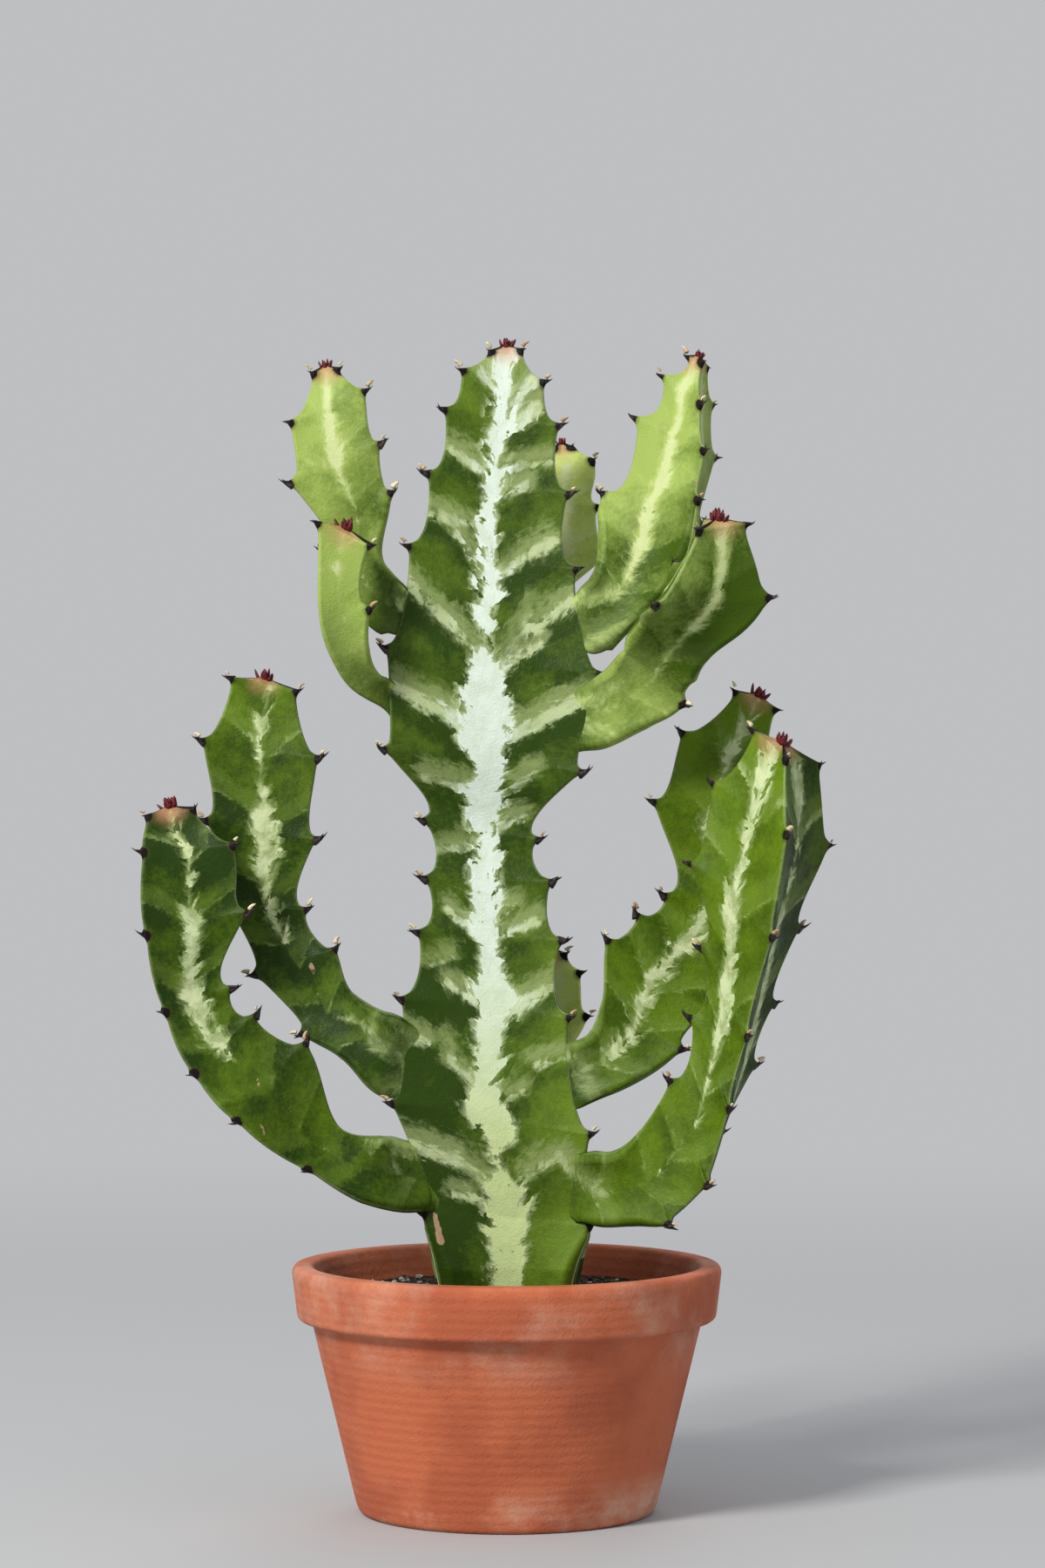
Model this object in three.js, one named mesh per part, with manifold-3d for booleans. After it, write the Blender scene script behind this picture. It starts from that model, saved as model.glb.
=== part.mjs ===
// Potted mottled spurge: a candelabra of three-ribbed succulent stems in a plain clay pan.
// One main stem stands in the soil and carries ten branches, each jointed to it by a narrow neck.
// Every rib is a row of teeth with a scalloped margin between them and a pair of spines on each tooth.
// Millimetres, +Z up, the front of the plant towards -Y, origin on the ground under the pot's centre.

import * as THREE from "three";
import { mergeVertices } from "three/addons/utils/BufferGeometryUtils.js";
import Module from "manifold-3d";

const wasm = await Module();
wasm.setup();

// Clearance between pieces that touch on the real plant
const GAP = 0.3;

// Corners closer than this are one corner
const SAME_POINT = 1e-4;

// Clay pan: a tapered wall under a thick collar, a flat foot and three drain holes
const POT_HEIGHT = 85;
const POT_FOOT_RADIUS = 51;
const POT_COLLAR_RADIUS = 74;
const POT_COLLAR_HEIGHT = 19;
const POT_COLLAR_FLARE = 2;
const POT_SHOULDER_RADIUS = 67.5;
const POT_WALL = 6;
const POT_FLOOR = 8;
const POT_EDGE = 2;
const POT_SIDES = 44;
const POT_COLOR = 0xb5653f;
const POT_ROUGHNESS = 0.85;
const DRAIN_RADIUS = 4;
const DRAIN_PLACE = 24;
const DRAIN_COUNT = 3;
const DRAIN_SIDES = 16;
const DRAIN_FIRST_ANGLE = 30;

// Potting soil: filled to below the collar's edge, a little higher round the stem. The slope is
// given by shares of the soil's radius and of the mound's height, and the soil just clears the wall
const SOIL_TOP = 74;
const SOIL_MOUND = 2.5;
const SOIL_SLOPE = [[0.72, 0.4], [0.42, 1]];
const SOIL_WALL_CLEARANCE = 0.36;
const SOIL_COLOR = 0x3b2d22;
const SOIL_ROUGHNESS = 0.95;

// Tooth rows are measured on a front elevation through the pot's axis, as seen from this point
const EYE = new THREE.Vector3(5.4, -1500, 250);

// Ribs of a stem, as angles in its cross-section: left, right and back. The middle of a face lies
// a fixed angle further round than its rib
const RIB_ANGLES = [210, 330, 450];
const RIB_LETTERS = ["L", "R", "B"];
const RIB_TO_FACE = 60;
const STEM_ROUGHNESS = 0.55;

// Teeth: the flesh ends short of the measured tooth, and the margin is deepest just above a tooth
const TOOTH_INSET = 1.5;
const WAVE_SKEW = 0.62;
const WAVE_FULLNESS = 0.75;
const WAVE_FULL_LENGTH = 18;
const ROWS_ABOVE_A_TOOTH = [0, 0.14, 0.45];
const ROWS_ABOVE_A_PLAIN_LEVEL = [0, 0.5];

// Cross-section: flat stems have a slim edge and a hollow face, necks and the foot are rounder
const EDGE_HALF = 0.95;
const NECK_EDGE_SHARE = 0.24;
const CORE_SHARE = 0.4;
const NECK_CORE_SHARE = 0.53;
const FACE_PLACES = [-0.62, 0, 0.62];
const POINTS_IN_A_RIB = 2 + FACE_PLACES.length;

// Ends: the growing tip has a small bud between its last teeth, the root end is a blunt dome.
// The bud's rings are given by their radius and their height over the last teeth
const BUD_RINGS = [[2.6, -0.6], [2.2, 1.1]];
const BUD_TOP = 2;
const ROOT_RING_SHARE = 0.6;
const ROOT_RING_DROP = 1.2;
const ROOT_END_DROP = 1.9;

// Spines: two slim three-sided spikes on the edge just under each tooth's tip, spread to either side
const SPINE_LENGTH = 4.6;
const SPINE_BASE = 1.7;
const WIDEST_SPINE_SHARE = 0.4;
const SPINE_SPREAD = 34;
const SPINE_RISE = 10;

// Each row of a stem, from its root to its tip, is the left edge x, z and the right edge x, z of the
// front elevation, then the depth of the stem's centre, its roll in degrees towards the left, the
// ribs that carry a tooth in that row (left, right and back), and where the back rib differs from the
// other two, how far its tooth is shifted along the stem and its reach as a share of theirs
const STEMS = {
  main_stem: {
    color: 0x6f8f55,
    waves: [4.5, 4.5, 4.5],
    rows: [
      [-12, 36, 12, 36, 0, 0, ""],
      [-18, 58, 18, 58, 0, 0, ""],
      [-22, 83, 22.5, 83, 0, 0, ""],
      [-29, 102.5, 29, 98.5, 0, 0, "LRB"],
      [-40.5, 140.5, 29.5, 130, 0, 0, "LRB"],
      [-37, 176.5, 22, 170, 0, 0, "LRB"],
      [-31.5, 199.5, 19.5, 196.5, 0, 0, "LRB"],
      [-29, 218, 16, 217, 0, 0, "LRB"],
      [-29.5, 238, 11.5, 231.5, 0, 0, "LRB"],
      [-43, 262.5, 26.5, 254.5, 0, 0, "LRB"],
      [-42.5, 297.5, 32.5, 288.5, 0, 0, "LRB"],
      [-34.5, 332.5, 24.5, 324.5, 0, 0, "LRB"],
      [-28, 357.5, 22, 350.5, 0, 0, "LRB"],
      [-22, 379.5, 18.5, 374, 0, 0, "LRB"],
      [-15.5, 393, 13, 389, 0, 0, "LRB"],
      [-5.5, 399.5, 5, 400, 0, 0, "LRB"],
    ],
  },
  branch_upper_left_rear: {
    color: 0x86a040,
    waves: [4, 3.5, 4],
    rows: [
      [-31.5, 302, -29, 307, -11, 0, ""],
      [-40, 304, -34.5, 314.5, -13, 0, ""],
      [-47, 306.5, -39, 319.5, -14, 0, ""],
      [-58, 319.5, -44.5, 328, -13, 0, ""],
      [-62, 332.5, -39.5, 351, -12, 0, "LRB"],
      [-75.5, 354, -43, 368, -11, 0, "LRB"],
      [-75, 375, -48.5, 386, -10, 0, "LRB"],
      [-67, 392, -58, 393.5, -10, 0, "LRB"],
    ],
  },
  branch_upper_left_front: {
    color: 0x9db55a,
    waves: [0.5, 4, 3.5],
    rows: [
      [-33, 272.5, -31, 277, -12, 0, ""],
      [-39.5, 274, -36, 281.5, -15, 0, ""],
      [-45, 276, -40.5, 285, -19, 0, ""],
      [-56, 281.5, -44.5, 287, -25, 0, ""],
      [-62.5, 292, -48.5, 296, -32, 0, ""],
      [-65.5, 303, -47, 310.5, -37, 0, "RB"],
      [-65.5, 340.5, -46.5, 332.5, -39, 0, "LRB"],
    ],
  },
  branch_upper_right_rear: {
    color: 0x8fae48,
    waves: [6, 2.5, 3.5],
    rows: [
      [18, 305, 20, 298, -9, 0, ""],
      [22.5, 310, 26, 295.5, -12, 0, ""],
      [27.5, 315.5, 32.5, 295, -14, -5, ""],
      [32.5, 323.5, 42.5, 306, -12, -15, ""],
      [34, 336, 58, 321, -9, -25, ""],
      [33, 351.5, 66, 347.5, -7, -32, "LRB"],
      [44, 377, 68, 365, -5, -35, "LRB"],
      [53, 391, 67, 381.5, -5, -35, "LRB"],
      [62, 397.5, 67.5, 396, -5, -35, "LRB"],
    ],
  },
  branch_upper_right_front: {
    color: 0x7fa02f,
    waves: [3, 4.5, 4],
    rows: [
      [16, 270, 16.5, 265, -9, 30, ""],
      [22, 272, 23, 262, -10, 35, ""],
      [28, 274, 29.5, 260, -12, 40, ""],
      [37, 279, 46, 268, -19, 45, ""],
      [44, 286.5, 60, 276.5, -27, 45, "R"],
      [51, 298, 69, 290.5, -36, 40, ""],
      [51.5, 311, 90.5, 312, -46, 25, "LRB", 0, 0.85],
      [66, 338.5, 83.5, 339.5, -50, 20, "LRB"],
    ],
  },
  branch_back_upper: {
    color: 0x7d9550,
    waves: [3.5, 3.5, 3.5],
    rows: [
      [-3, 301, 3, 301, 24, 0, ""],
      [-6.5, 304, 6.5, 304, 31, 0, ""],
      [-8, 310, 10, 310, 41, 0, ""],
      [-1, 319, 22, 319, 49, 0, "B"],
      [6, 330, 34.5, 330, 53, 0, "LRB"],
      [7, 346, 32, 346, 54, 0, "LRB"],
      [10, 361, 29.5, 362, 53, 0, "LRB"],
      [16, 366, 22, 366.5, 53, 0, "LR"],
    ],
  },
  branch_back_lower: {
    color: 0x718a58,
    waves: [3, 3, 3],
    rows: [
      [-3, 146, 3, 146, 19, 0, ""],
      [-6, 148, 6, 148, 27, 0, ""],
      [-6, 154, 14, 154, 40, 0, ""],
      [1, 169, 28, 170.5, 47, 0, "LRB"],
      [5, 184, 25.5, 185.5, 48, 0, "LRB"],
      [11, 191, 20, 192, 47, 0, "LR"],
    ],
  },
  branch_lower_left_inner: {
    color: 0x6b8f3a,
    waves: [4, 3.8, 4],
    rows: [
      [-28, 149, -26, 156, -9, 0, ""],
      [-35.5, 146, -31, 162, -10.5, 0, ""],
      [-42.5, 145, -37, 167, -13, 0, ""],
      [-56, 155, -45.5, 171, -13, 0, ""],
      [-71.5, 164, -54, 178, -10, 0, "LB"],
      [-88, 184.5, -59, 194, -7, 0, "LRB"],
      [-99, 211, -68.5, 207.5, -4, 0, "LRB"],
      [-104.5, 238, -65, 231.5, -2, 0, "LRB"],
      [-105.5, 265.5, -64.5, 259.5, 0, 0, "LRB"],
      [-95.5, 287, -72, 282.5, 0, 0, "LRB"],
    ],
  },
  branch_lower_left_outer: {
    color: 0x66883c,
    waves: [-1.4, 4.2, 4],
    rows: [
      [-18.5, 110, -20, 117, -9, 5, ""],
      [-26, 106, -29, 123, -10.5, 8, ""],
      [-34, 104.5, -37, 126, -13.5, 10, ""],
      [-50, 108, -43.5, 126.5, -19, 15, ""],
      [-69.5, 117.5, -54.5, 130, -21, 18, "LB"],
      [-94, 134.5, -69, 161, -24, 18, "LRB"],
      [-108.5, 151, -86, 171, -26, 15, "LRB"],
      [-118, 172, -94, 180, -28, 10, "LRB"],
      [-124.5, 198.5, -89, 206, -29, 5, "LRB"],
      [-125.5, 227, -94, 229.5, -30, 0, "LRB"],
      [-124, 239.5, -108, 242, -30, 0, "LRB"],
    ],
  },
  branch_lower_right_inner: {
    color: 0x79993f,
    waves: [5, 3, 4],
    rows: [
      [15.5, 152, 18, 145, -8, 0, ""],
      [21, 157, 25.5, 142, -11, 0, ""],
      [28, 161, 36, 143, -12, 0, ""],
      [33.5, 175, 61, 159, -8, 0, "RB"],
      [34.5, 197, 69, 174, -3, 0, "LRB"],
      [44.5, 206, 76, 189, 0, 0, "LRB"],
      [53.5, 212.5, 82, 206.5, 3, 0, "LRB"],
      [50, 244.5, 86, 230.5, 5, 0, "LRB"],
      [60, 268.5, 92.5, 256, 6, 0, "LRB"],
      [78.5, 282.5, 93.5, 276, 6, 0, "LRB"],
    ],
  },
  branch_lower_right_outer: {
    color: 0x7a9a45,
    waves: [3.5, 3, 3.5],
    rows: [
      [15.5, 114, 16, 107, -9, 0, ""],
      [22.5, 119, 23.5, 103, -12, 0, ""],
      [29, 121, 30.5, 100, -15, 0, ""],
      [36.5, 121, 43, 100, -20, -5, ""],
      [46, 130.5, 57.5, 98.5, -24, -15, "RB"],
      [55, 148, 71, 112.5, -28, -20, "LRB"],
      [65.5, 172.5, 78.5, 139, -31, -35, "LRB"],
      [65, 193.5, 84.5, 164, -34, -40, "LRB"],
      [62, 222.5, 92.5, 198, -36, -40, "LRB", -10, 1],
      [70.5, 250.5, 97, 233.5, -37, -48, "LRB", -11, 1],
      [84.5, 269, 96.5, 259, -37, -48, "LRB", -5, 1.35],
    ],
  },
};

const radians = THREE.MathUtils.degToRad;
const mix = THREE.MathUtils.lerp;

// Moves a point of the front elevation to its own depth along the line from the eye
function atDepth(x, z, depth) {
  const point = new THREE.Vector3(x, 0, z);
  const share = (depth - EYE.y) / -EYE.y;
  point.sub(EYE).multiplyScalar(share).add(EYE);
  return point;
}

// Direction in a cross-section at an angle from the across direction towards the depth direction
function sectionDirection(across, away, degrees) {
  const direction = across.clone().multiplyScalar(Math.cos(radians(degrees)));
  return direction.addScaledVector(away, Math.sin(radians(degrees)));
}

// Turns a stem's measured rows into levels: centre, growing direction, rib reaches and the skew of
// the left and right teeth along the stem
function stemLevels(stem) {
  const middles = stem.rows.map(([xl, zl, xr, zr, depth]) => {
    return atDepth((xl + xr) / 2, (zl + zr) / 2, depth);
  });
  const last = stem.rows.length - 1;
  const levels = stem.rows.map((row, i) => {
    const [xl, zl, xr, zr, depth, roll, teeth, backShift = 0, backShare = 1] = row;
    const growing = middles[Math.min(i + 1, last)].clone();
    growing.sub(middles[Math.max(i - 1, 0)]).normalize();
    let left = new THREE.Vector3(xl, depth, zl);
    let right = new THREE.Vector3(xr, depth, zr);
    let reach = 0;
    let across = null;
    // The second pass knows how far each rib stands from the stem's centre in depth
    for (let pass = 0; pass < 2; pass += 1) {
      left = atDepth(xl, zl, depth + reach * Math.sin(radians(RIB_ANGLES[0] + roll)));
      right = atDepth(xr, zr, depth + reach * Math.sin(radians(RIB_ANGLES[1] + roll)));
      left.y = depth;
      right.y = depth;
      across = right.clone().sub(left);
      across.addScaledVector(growing, -across.dot(growing));
      reach = across.length() / (Math.sqrt(3) * Math.cos(radians(roll)));
    }
    across.normalize();
    const away = growing.clone().cross(across);
    const middle = left.clone().add(right).multiplyScalar(0.5);
    const centre = middle.clone();
    centre.addScaledVector(across, -0.5 * reach * Math.sin(radians(roll)));
    centre.addScaledVector(away, 0.5 * reach * Math.cos(radians(roll)));
    centre.y = depth;
    return {
      centre,
      across,
      growing,
      roll,
      reach,
      teeth: RIB_LETTERS.map((letter) => teeth.includes(letter)),
      shares: [1, 1, backShare],
      skew: [
        left.clone().sub(middle).dot(growing),
        right.clone().sub(middle).dot(growing),
        backShift,
      ],
      roundness: teeth === "" ? 1 : 0,
      along: 0,
    };
  });
  for (let i = 1; i <= last; i += 1) {
    levels[i].along = levels[i - 1].along + levels[i].centre.distanceTo(levels[i - 1].centre);
  }
  return levels;
}

// Smooth value of a level's quantity at share t of the way from level i to the next: a cubic
// whose slope at each level is the mean of the slopes on its two sides, weighted by the lengths
function between(levels, i, t, quantity) {
  const slopeOver = (n) => {
    const lower = levels[n];
    const upper = levels[n + 1];
    return (quantity(upper) - quantity(lower)) / (upper.along - lower.along);
  };
  const slopeAt = (n) => {
    if (n === 0) return slopeOver(0);
    if (n === levels.length - 1) return slopeOver(n - 1);
    const below = levels[n].along - levels[n - 1].along;
    const above = levels[n + 1].along - levels[n].along;
    return (slopeOver(n - 1) * above + slopeOver(n) * below) / (below + above);
  };
  const length = levels[i + 1].along - levels[i].along;
  const startPull = (t ** 3 - 2 * t ** 2 + t) * length * slopeAt(i);
  const endPull = (t ** 3 - t ** 2) * length * slopeAt(i + 1);
  const share = 3 * t ** 2 - 2 * t ** 3;
  return mix(quantity(levels[i]), quantity(levels[i + 1]), share) + startPull + endPull;
}

// Depth of the scallop between two teeth: nothing at the teeth, deepest just above the lower one
function marginWave(t) {
  return Math.sin(Math.PI * t ** WAVE_SKEW) ** WAVE_FULLNESS;
}

// Section of a stem at share t above level i: its frame, rib points and roundness
function sectionAt(stem, levels, i, t) {
  const vector = (pick) => new THREE.Vector3(
    between(levels, i, t, (level) => pick(level).x),
    between(levels, i, t, (level) => pick(level).y),
    between(levels, i, t, (level) => pick(level).z),
  );
  const centre = vector((level) => level.centre);
  const growing = vector((level) => level.growing).normalize();
  const across = vector((level) => level.across);
  across.addScaledVector(growing, -across.dot(growing)).normalize();
  const away = growing.clone().cross(across);
  const roll = between(levels, i, t, (level) => level.roll);
  const reach = between(levels, i, t, (level) => level.reach);
  const length = levels[i + 1].along - levels[i].along;
  const waveShare = Math.min(1, length / WAVE_FULL_LENGTH) * marginWave(t);
  const ribs = RIB_ANGLES.map((angle, rib) => {
    const toothBelow = levels[i].teeth[rib] ? 1 : 0;
    const toothAbove = levels[i + 1].teeth[rib] ? 1 : 0;
    const inset = mix(toothBelow, toothAbove, t) * TOOTH_INSET;
    const scallop = levels[i].teeth[rib] ? stem.waves[rib] * waveShare : 0;
    return {
      direction: sectionDirection(across, away, angle + roll),
      side: sectionDirection(across, away, angle + roll + 90),
      reach: reach * between(levels, i, t, (level) => level.shares[rib]) - inset - scallop,
      skew: between(levels, i, t, (level) => level.skew[rib]),
    };
  });
  const roundness = mix(levels[i].roundness, levels[i + 1].roundness, t);
  return { centre, growing, across, away, roll, reach, ribs, roundness };
}

// Ring of points of a section: two at each rib's edge and two on each hollow face between ribs.
// Shrink draws the ring in towards the centre, lift moves it along the stem, grow fattens it
function ringPoints(section, shrink, lift, grow) {
  const { centre, growing, across, away, roll, reach, ribs, roundness } = section;
  const edgeHalf = mix(EDGE_HALF, NECK_EDGE_SHARE * reach, roundness) * shrink + grow;
  const core = mix(CORE_SHARE, NECK_CORE_SHARE, roundness) * reach * shrink + grow;
  const edges = ribs.map((rib) => {
    const tip = centre.clone().addScaledVector(growing, lift + rib.skew * shrink);
    tip.addScaledVector(rib.direction, Math.max(rib.reach, EDGE_HALF) * shrink + grow);
    return [-edgeHalf, edgeHalf].map((half) => tip.clone().addScaledVector(rib.side, half));
  });
  const points = [];
  edges.forEach(([before, after], rib) => {
    points.push(before, after);
    const next = edges[(rib + 1) % edges.length][0];
    const outward = sectionDirection(across, away, RIB_ANGLES[rib] + roll + RIB_TO_FACE);
    const chordMiddle = after.clone().add(next).multiplyScalar(0.5);
    const hollow = core - chordMiddle.sub(centre).dot(outward);
    for (const place of FACE_PLACES) {
      const point = after.clone().lerp(next, (place + 1) / 2);
      points.push(point.addScaledVector(outward, hollow * (1 - place ** 4)));
    }
  });
  return points;
}

// Corner numbers of a patch between two rows, as two triangles split along either of its diagonals
function patchTriangles([a, b, c, d], alongFirst) {
  return alongFirst ? [[a, b, c], [a, c, d]] : [[a, b, d], [b, c, d]];
}

// Closed skin over a stack of rings, with an end point below the first and above the last. A ring's
// spikes turn the two triangles of a rib's edge above it into slim spikes that end at two given points
function skin(rings, spikes, bottom, top) {
  const size = rings[0].length;
  const vertices = rings.flat();
  const faces = [];
  for (let row = 0; row + 1 < rings.length; row += 1) {
    for (let k = 0; k < size; k += 1) {
      const next = (k + 1) % size;
      const lower = row * size;
      const upper = lower + size;
      const corners = [lower + k, lower + next, upper + next, upper + k];
      const [a, b, c, d] = corners.map((n) => vertices[n]);
      const ends = spikes[row]?.[k];
      if (ends) {
        patchTriangles(corners, row % 2 === 0).forEach((triangle, n) => {
          const end = vertices.push(ends[row % 2 === 0 ? 1 - n : n]) - 1;
          faces.push(triangle[0], triangle[1], end);
          faces.push(triangle[1], triangle[2], end);
          faces.push(triangle[2], triangle[0], end);
        });
      } else {
        faces.push(...patchTriangles(corners, a.distanceTo(c) < b.distanceTo(d)).flat());
      }
    }
  }
  const bottomIndex = vertices.push(bottom) - 1;
  const topIndex = vertices.push(top) - 1;
  const lastRow = (rings.length - 1) * size;
  for (let k = 0; k < size; k += 1) {
    const next = (k + 1) % size;
    faces.push(bottomIndex, next, k);
    faces.push(topIndex, lastRow + k, lastRow + next);
  }
  const geometry = new THREE.BufferGeometry();
  const numbers = vertices.flatMap((vertex) => vertex.toArray());
  geometry.setAttribute("position", new THREE.Float32BufferAttribute(numbers, 3));
  geometry.setIndex(faces);
  return geometry;
}

// End points of the two spines on each tooth of a level, by the ring place of the tooth's edge
function spineEnds(section, teeth, grow) {
  const ends = {};
  section.ribs.forEach((rib, ribIndex) => {
    if (!teeth[ribIndex]) return;
    const tip = section.centre.clone().addScaledVector(section.growing, rib.skew - SPINE_BASE / 2);
    tip.addScaledVector(rib.direction, rib.reach);
    ends[ribIndex * POINTS_IN_A_RIB] = [-1, 1].map((hand) => {
      const direction = rib.direction.clone();
      direction.addScaledVector(rib.side, hand * Math.tan(radians(SPINE_SPREAD)));
      direction.addScaledVector(section.growing, Math.tan(radians(SPINE_RISE)));
      return tip.clone().addScaledVector(direction.normalize(), SPINE_LENGTH + grow);
    });
  });
  return ends;
}

// Ring of the bud: a small round one with as many points as the stem's own rings
function budRing(section, radius, lift, grow) {
  const { centre, growing, across, away, roll } = section;
  const step = 360 / (RIB_ANGLES.length * POINTS_IN_A_RIB);
  return Array.from({ length: RIB_ANGLES.length * POINTS_IN_A_RIB }, (unused, k) => {
    const direction = sectionDirection(across, away, RIB_ANGLES[0] + roll + (k - 0.5) * step);
    return centre.clone().addScaledVector(growing, lift).addScaledVector(direction, radius + grow);
  });
}

// A whole stem from its root end to its bud, with spines on its teeth, fattened by grow
function stemSkin(stem, grow) {
  const levels = stemLevels(stem);
  const rings = [];
  const spikes = [];
  for (let i = 0; i + 1 < levels.length; i += 1) {
    const hasTeeth = levels[i].teeth.includes(true);
    const nextHasTeeth = levels[i + 1].teeth.includes(true);
    const shares = hasTeeth ? [...ROWS_ABOVE_A_TOOTH] : [...ROWS_ABOVE_A_PLAIN_LEVEL];
    const spineShare = SPINE_BASE / (levels[i + 1].along - levels[i].along);
    if (nextHasTeeth) shares.push(1 - Math.min(spineShare, WIDEST_SPINE_SHARE));
    shares.forEach((t) => rings.push(ringPoints(sectionAt(stem, levels, i, t), 1, 0, grow)));
    const toothSection = sectionAt(stem, levels, i, 1);
    if (nextHasTeeth) spikes[rings.length] = spineEnds(toothSection, levels[i + 1].teeth, grow);
  }
  const root = sectionAt(stem, levels, 0, 0);
  const tip = sectionAt(stem, levels, levels.length - 2, 1);
  rings.unshift(ringPoints(root, ROOT_RING_SHARE, -ROOT_RING_DROP - grow, grow));
  rings.push(ringPoints(tip, 1, 0, grow));
  BUD_RINGS.forEach(([radius, lift]) => rings.push(budRing(tip, radius, lift, grow)));
  const bottom = root.centre.clone().addScaledVector(root.growing, -ROOT_END_DROP - grow);
  const top = tip.centre.clone().addScaledVector(tip.growing, BUD_TOP + grow);
  return skin(rings, spikes, bottom, top);
}

// A closed three.js geometry as a solid that can be joined and cut
function solidOf(geometry) {
  const bare = geometry.clone();
  bare.deleteAttribute("normal");
  bare.deleteAttribute("uv");
  const merged = mergeVertices(bare, SAME_POINT);
  const mesh = new wasm.Mesh({
    numProp: 3,
    vertProperties: new Float32Array(merged.attributes.position.array),
    triVerts: new Uint32Array(merged.index.array),
  });
  return new wasm.Manifold(mesh);
}

// A joined or cut solid back as three.js geometry
function geometryOf(solid) {
  const mesh = solid.getMesh();
  const geometry = new THREE.BufferGeometry();
  const numbers = new Float32Array(mesh.vertProperties);
  geometry.setAttribute("position", new THREE.BufferAttribute(numbers, 3));
  geometry.setIndex(new THREE.BufferAttribute(new Uint32Array(mesh.triVerts), 1));
  geometry.computeVertexNormals();
  return geometry;
}

// Radius of the pot's inner wall at a height
function potInnerRadius(z) {
  const lower = POT_FOOT_RADIUS - POT_WALL;
  const upper = POT_COLLAR_RADIUS - POT_WALL - POT_EDGE;
  return mix(lower, upper, (z - POT_FLOOR) / (POT_HEIGHT - POT_FLOOR));
}

// Clay pan turned round its axis, with round drain holes through its floor
function potSolid() {
  const collarFoot = POT_HEIGHT - POT_COLLAR_HEIGHT;
  const profile = [
    [0, 0],
    [POT_FOOT_RADIUS - POT_EDGE, 0],
    [POT_FOOT_RADIUS, POT_EDGE],
    [POT_SHOULDER_RADIUS, collarFoot],
    [POT_COLLAR_RADIUS - POT_COLLAR_FLARE, collarFoot + POT_EDGE],
    [POT_COLLAR_RADIUS, POT_HEIGHT - 1.5 * POT_EDGE],
    [POT_COLLAR_RADIUS - POT_EDGE, POT_HEIGHT],
    [potInnerRadius(POT_HEIGHT) + POT_EDGE, POT_HEIGHT],
    [potInnerRadius(POT_HEIGHT - POT_EDGE), POT_HEIGHT - POT_EDGE],
    [potInnerRadius(POT_FLOOR + POT_EDGE), POT_FLOOR + POT_EDGE],
    [potInnerRadius(POT_FLOOR) - POT_EDGE, POT_FLOOR],
    [0, POT_FLOOR],
  ];
  let pot = solidOf(turned(profile));
  const drillLength = 3 * POT_FLOOR;
  for (let i = 0; i < DRAIN_COUNT; i += 1) {
    const angle = radians(DRAIN_FIRST_ANGLE + (360 * i) / DRAIN_COUNT);
    const drain = new THREE.CylinderGeometry(DRAIN_RADIUS, DRAIN_RADIUS, drillLength, DRAIN_SIDES);
    drain.rotateX(Math.PI / 2);
    drain.translate(DRAIN_PLACE * Math.cos(angle), DRAIN_PLACE * Math.sin(angle), 0);
    pot = pot.subtract(solidOf(drain));
  }
  return pot;
}

// A profile of radius and height turned round the Z axis
function turned(profile) {
  const points = profile.map(([radius, height]) => new THREE.Vector2(radius, height));
  const geometry = new THREE.LatheGeometry(points, POT_SIDES);
  geometry.rotateX(Math.PI / 2);
  return geometry;
}

// Soil plug that fills the pot, with a plain hole where the main stem stands
function soilSolid() {
  const bottom = POT_FLOOR + GAP;
  const topRadius = potInnerRadius(SOIL_TOP) - SOIL_WALL_CLEARANCE;
  const profile = [
    [0, bottom],
    [potInnerRadius(POT_FLOOR) - POT_EDGE - GAP, bottom],
    [potInnerRadius(bottom + POT_EDGE) - SOIL_WALL_CLEARANCE, bottom + POT_EDGE],
    [topRadius, SOIL_TOP],
    ...SOIL_SLOPE.map(([across, up]) => [across * topRadius, SOIL_TOP + up * SOIL_MOUND]),
    [0, SOIL_TOP + SOIL_MOUND],
  ];
  return solidOf(turned(profile)).subtract(solidOf(stemSkin(STEMS.main_stem, GAP)));
}

// A named mesh with its own finish
function piece(name, solid, color, roughness) {
  const material = new THREE.MeshStandardMaterial({ color, roughness, metalness: 0 });
  const mesh = new THREE.Mesh(geometryOf(solid), material);
  mesh.name = name;
  return mesh;
}

const plant = new THREE.Group();
plant.add(piece("pot", potSolid(), POT_COLOR, POT_ROUGHNESS));
plant.add(piece("soil", soilSolid(), SOIL_COLOR, SOIL_ROUGHNESS));

const mainGrown = solidOf(stemSkin(STEMS.main_stem, GAP));
for (const [name, stem] of Object.entries(STEMS)) {
  let solid = solidOf(stemSkin(stem, 0));
  if (name !== "main_stem") solid = solid.subtract(mainGrown);
  plant.add(piece(name, solid, stem.color, STEM_ROUGHNESS));
}

export default plant;
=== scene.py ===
import bpy
import numpy as np
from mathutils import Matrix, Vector
from mathutils.bvhtree import BVHTree


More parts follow.
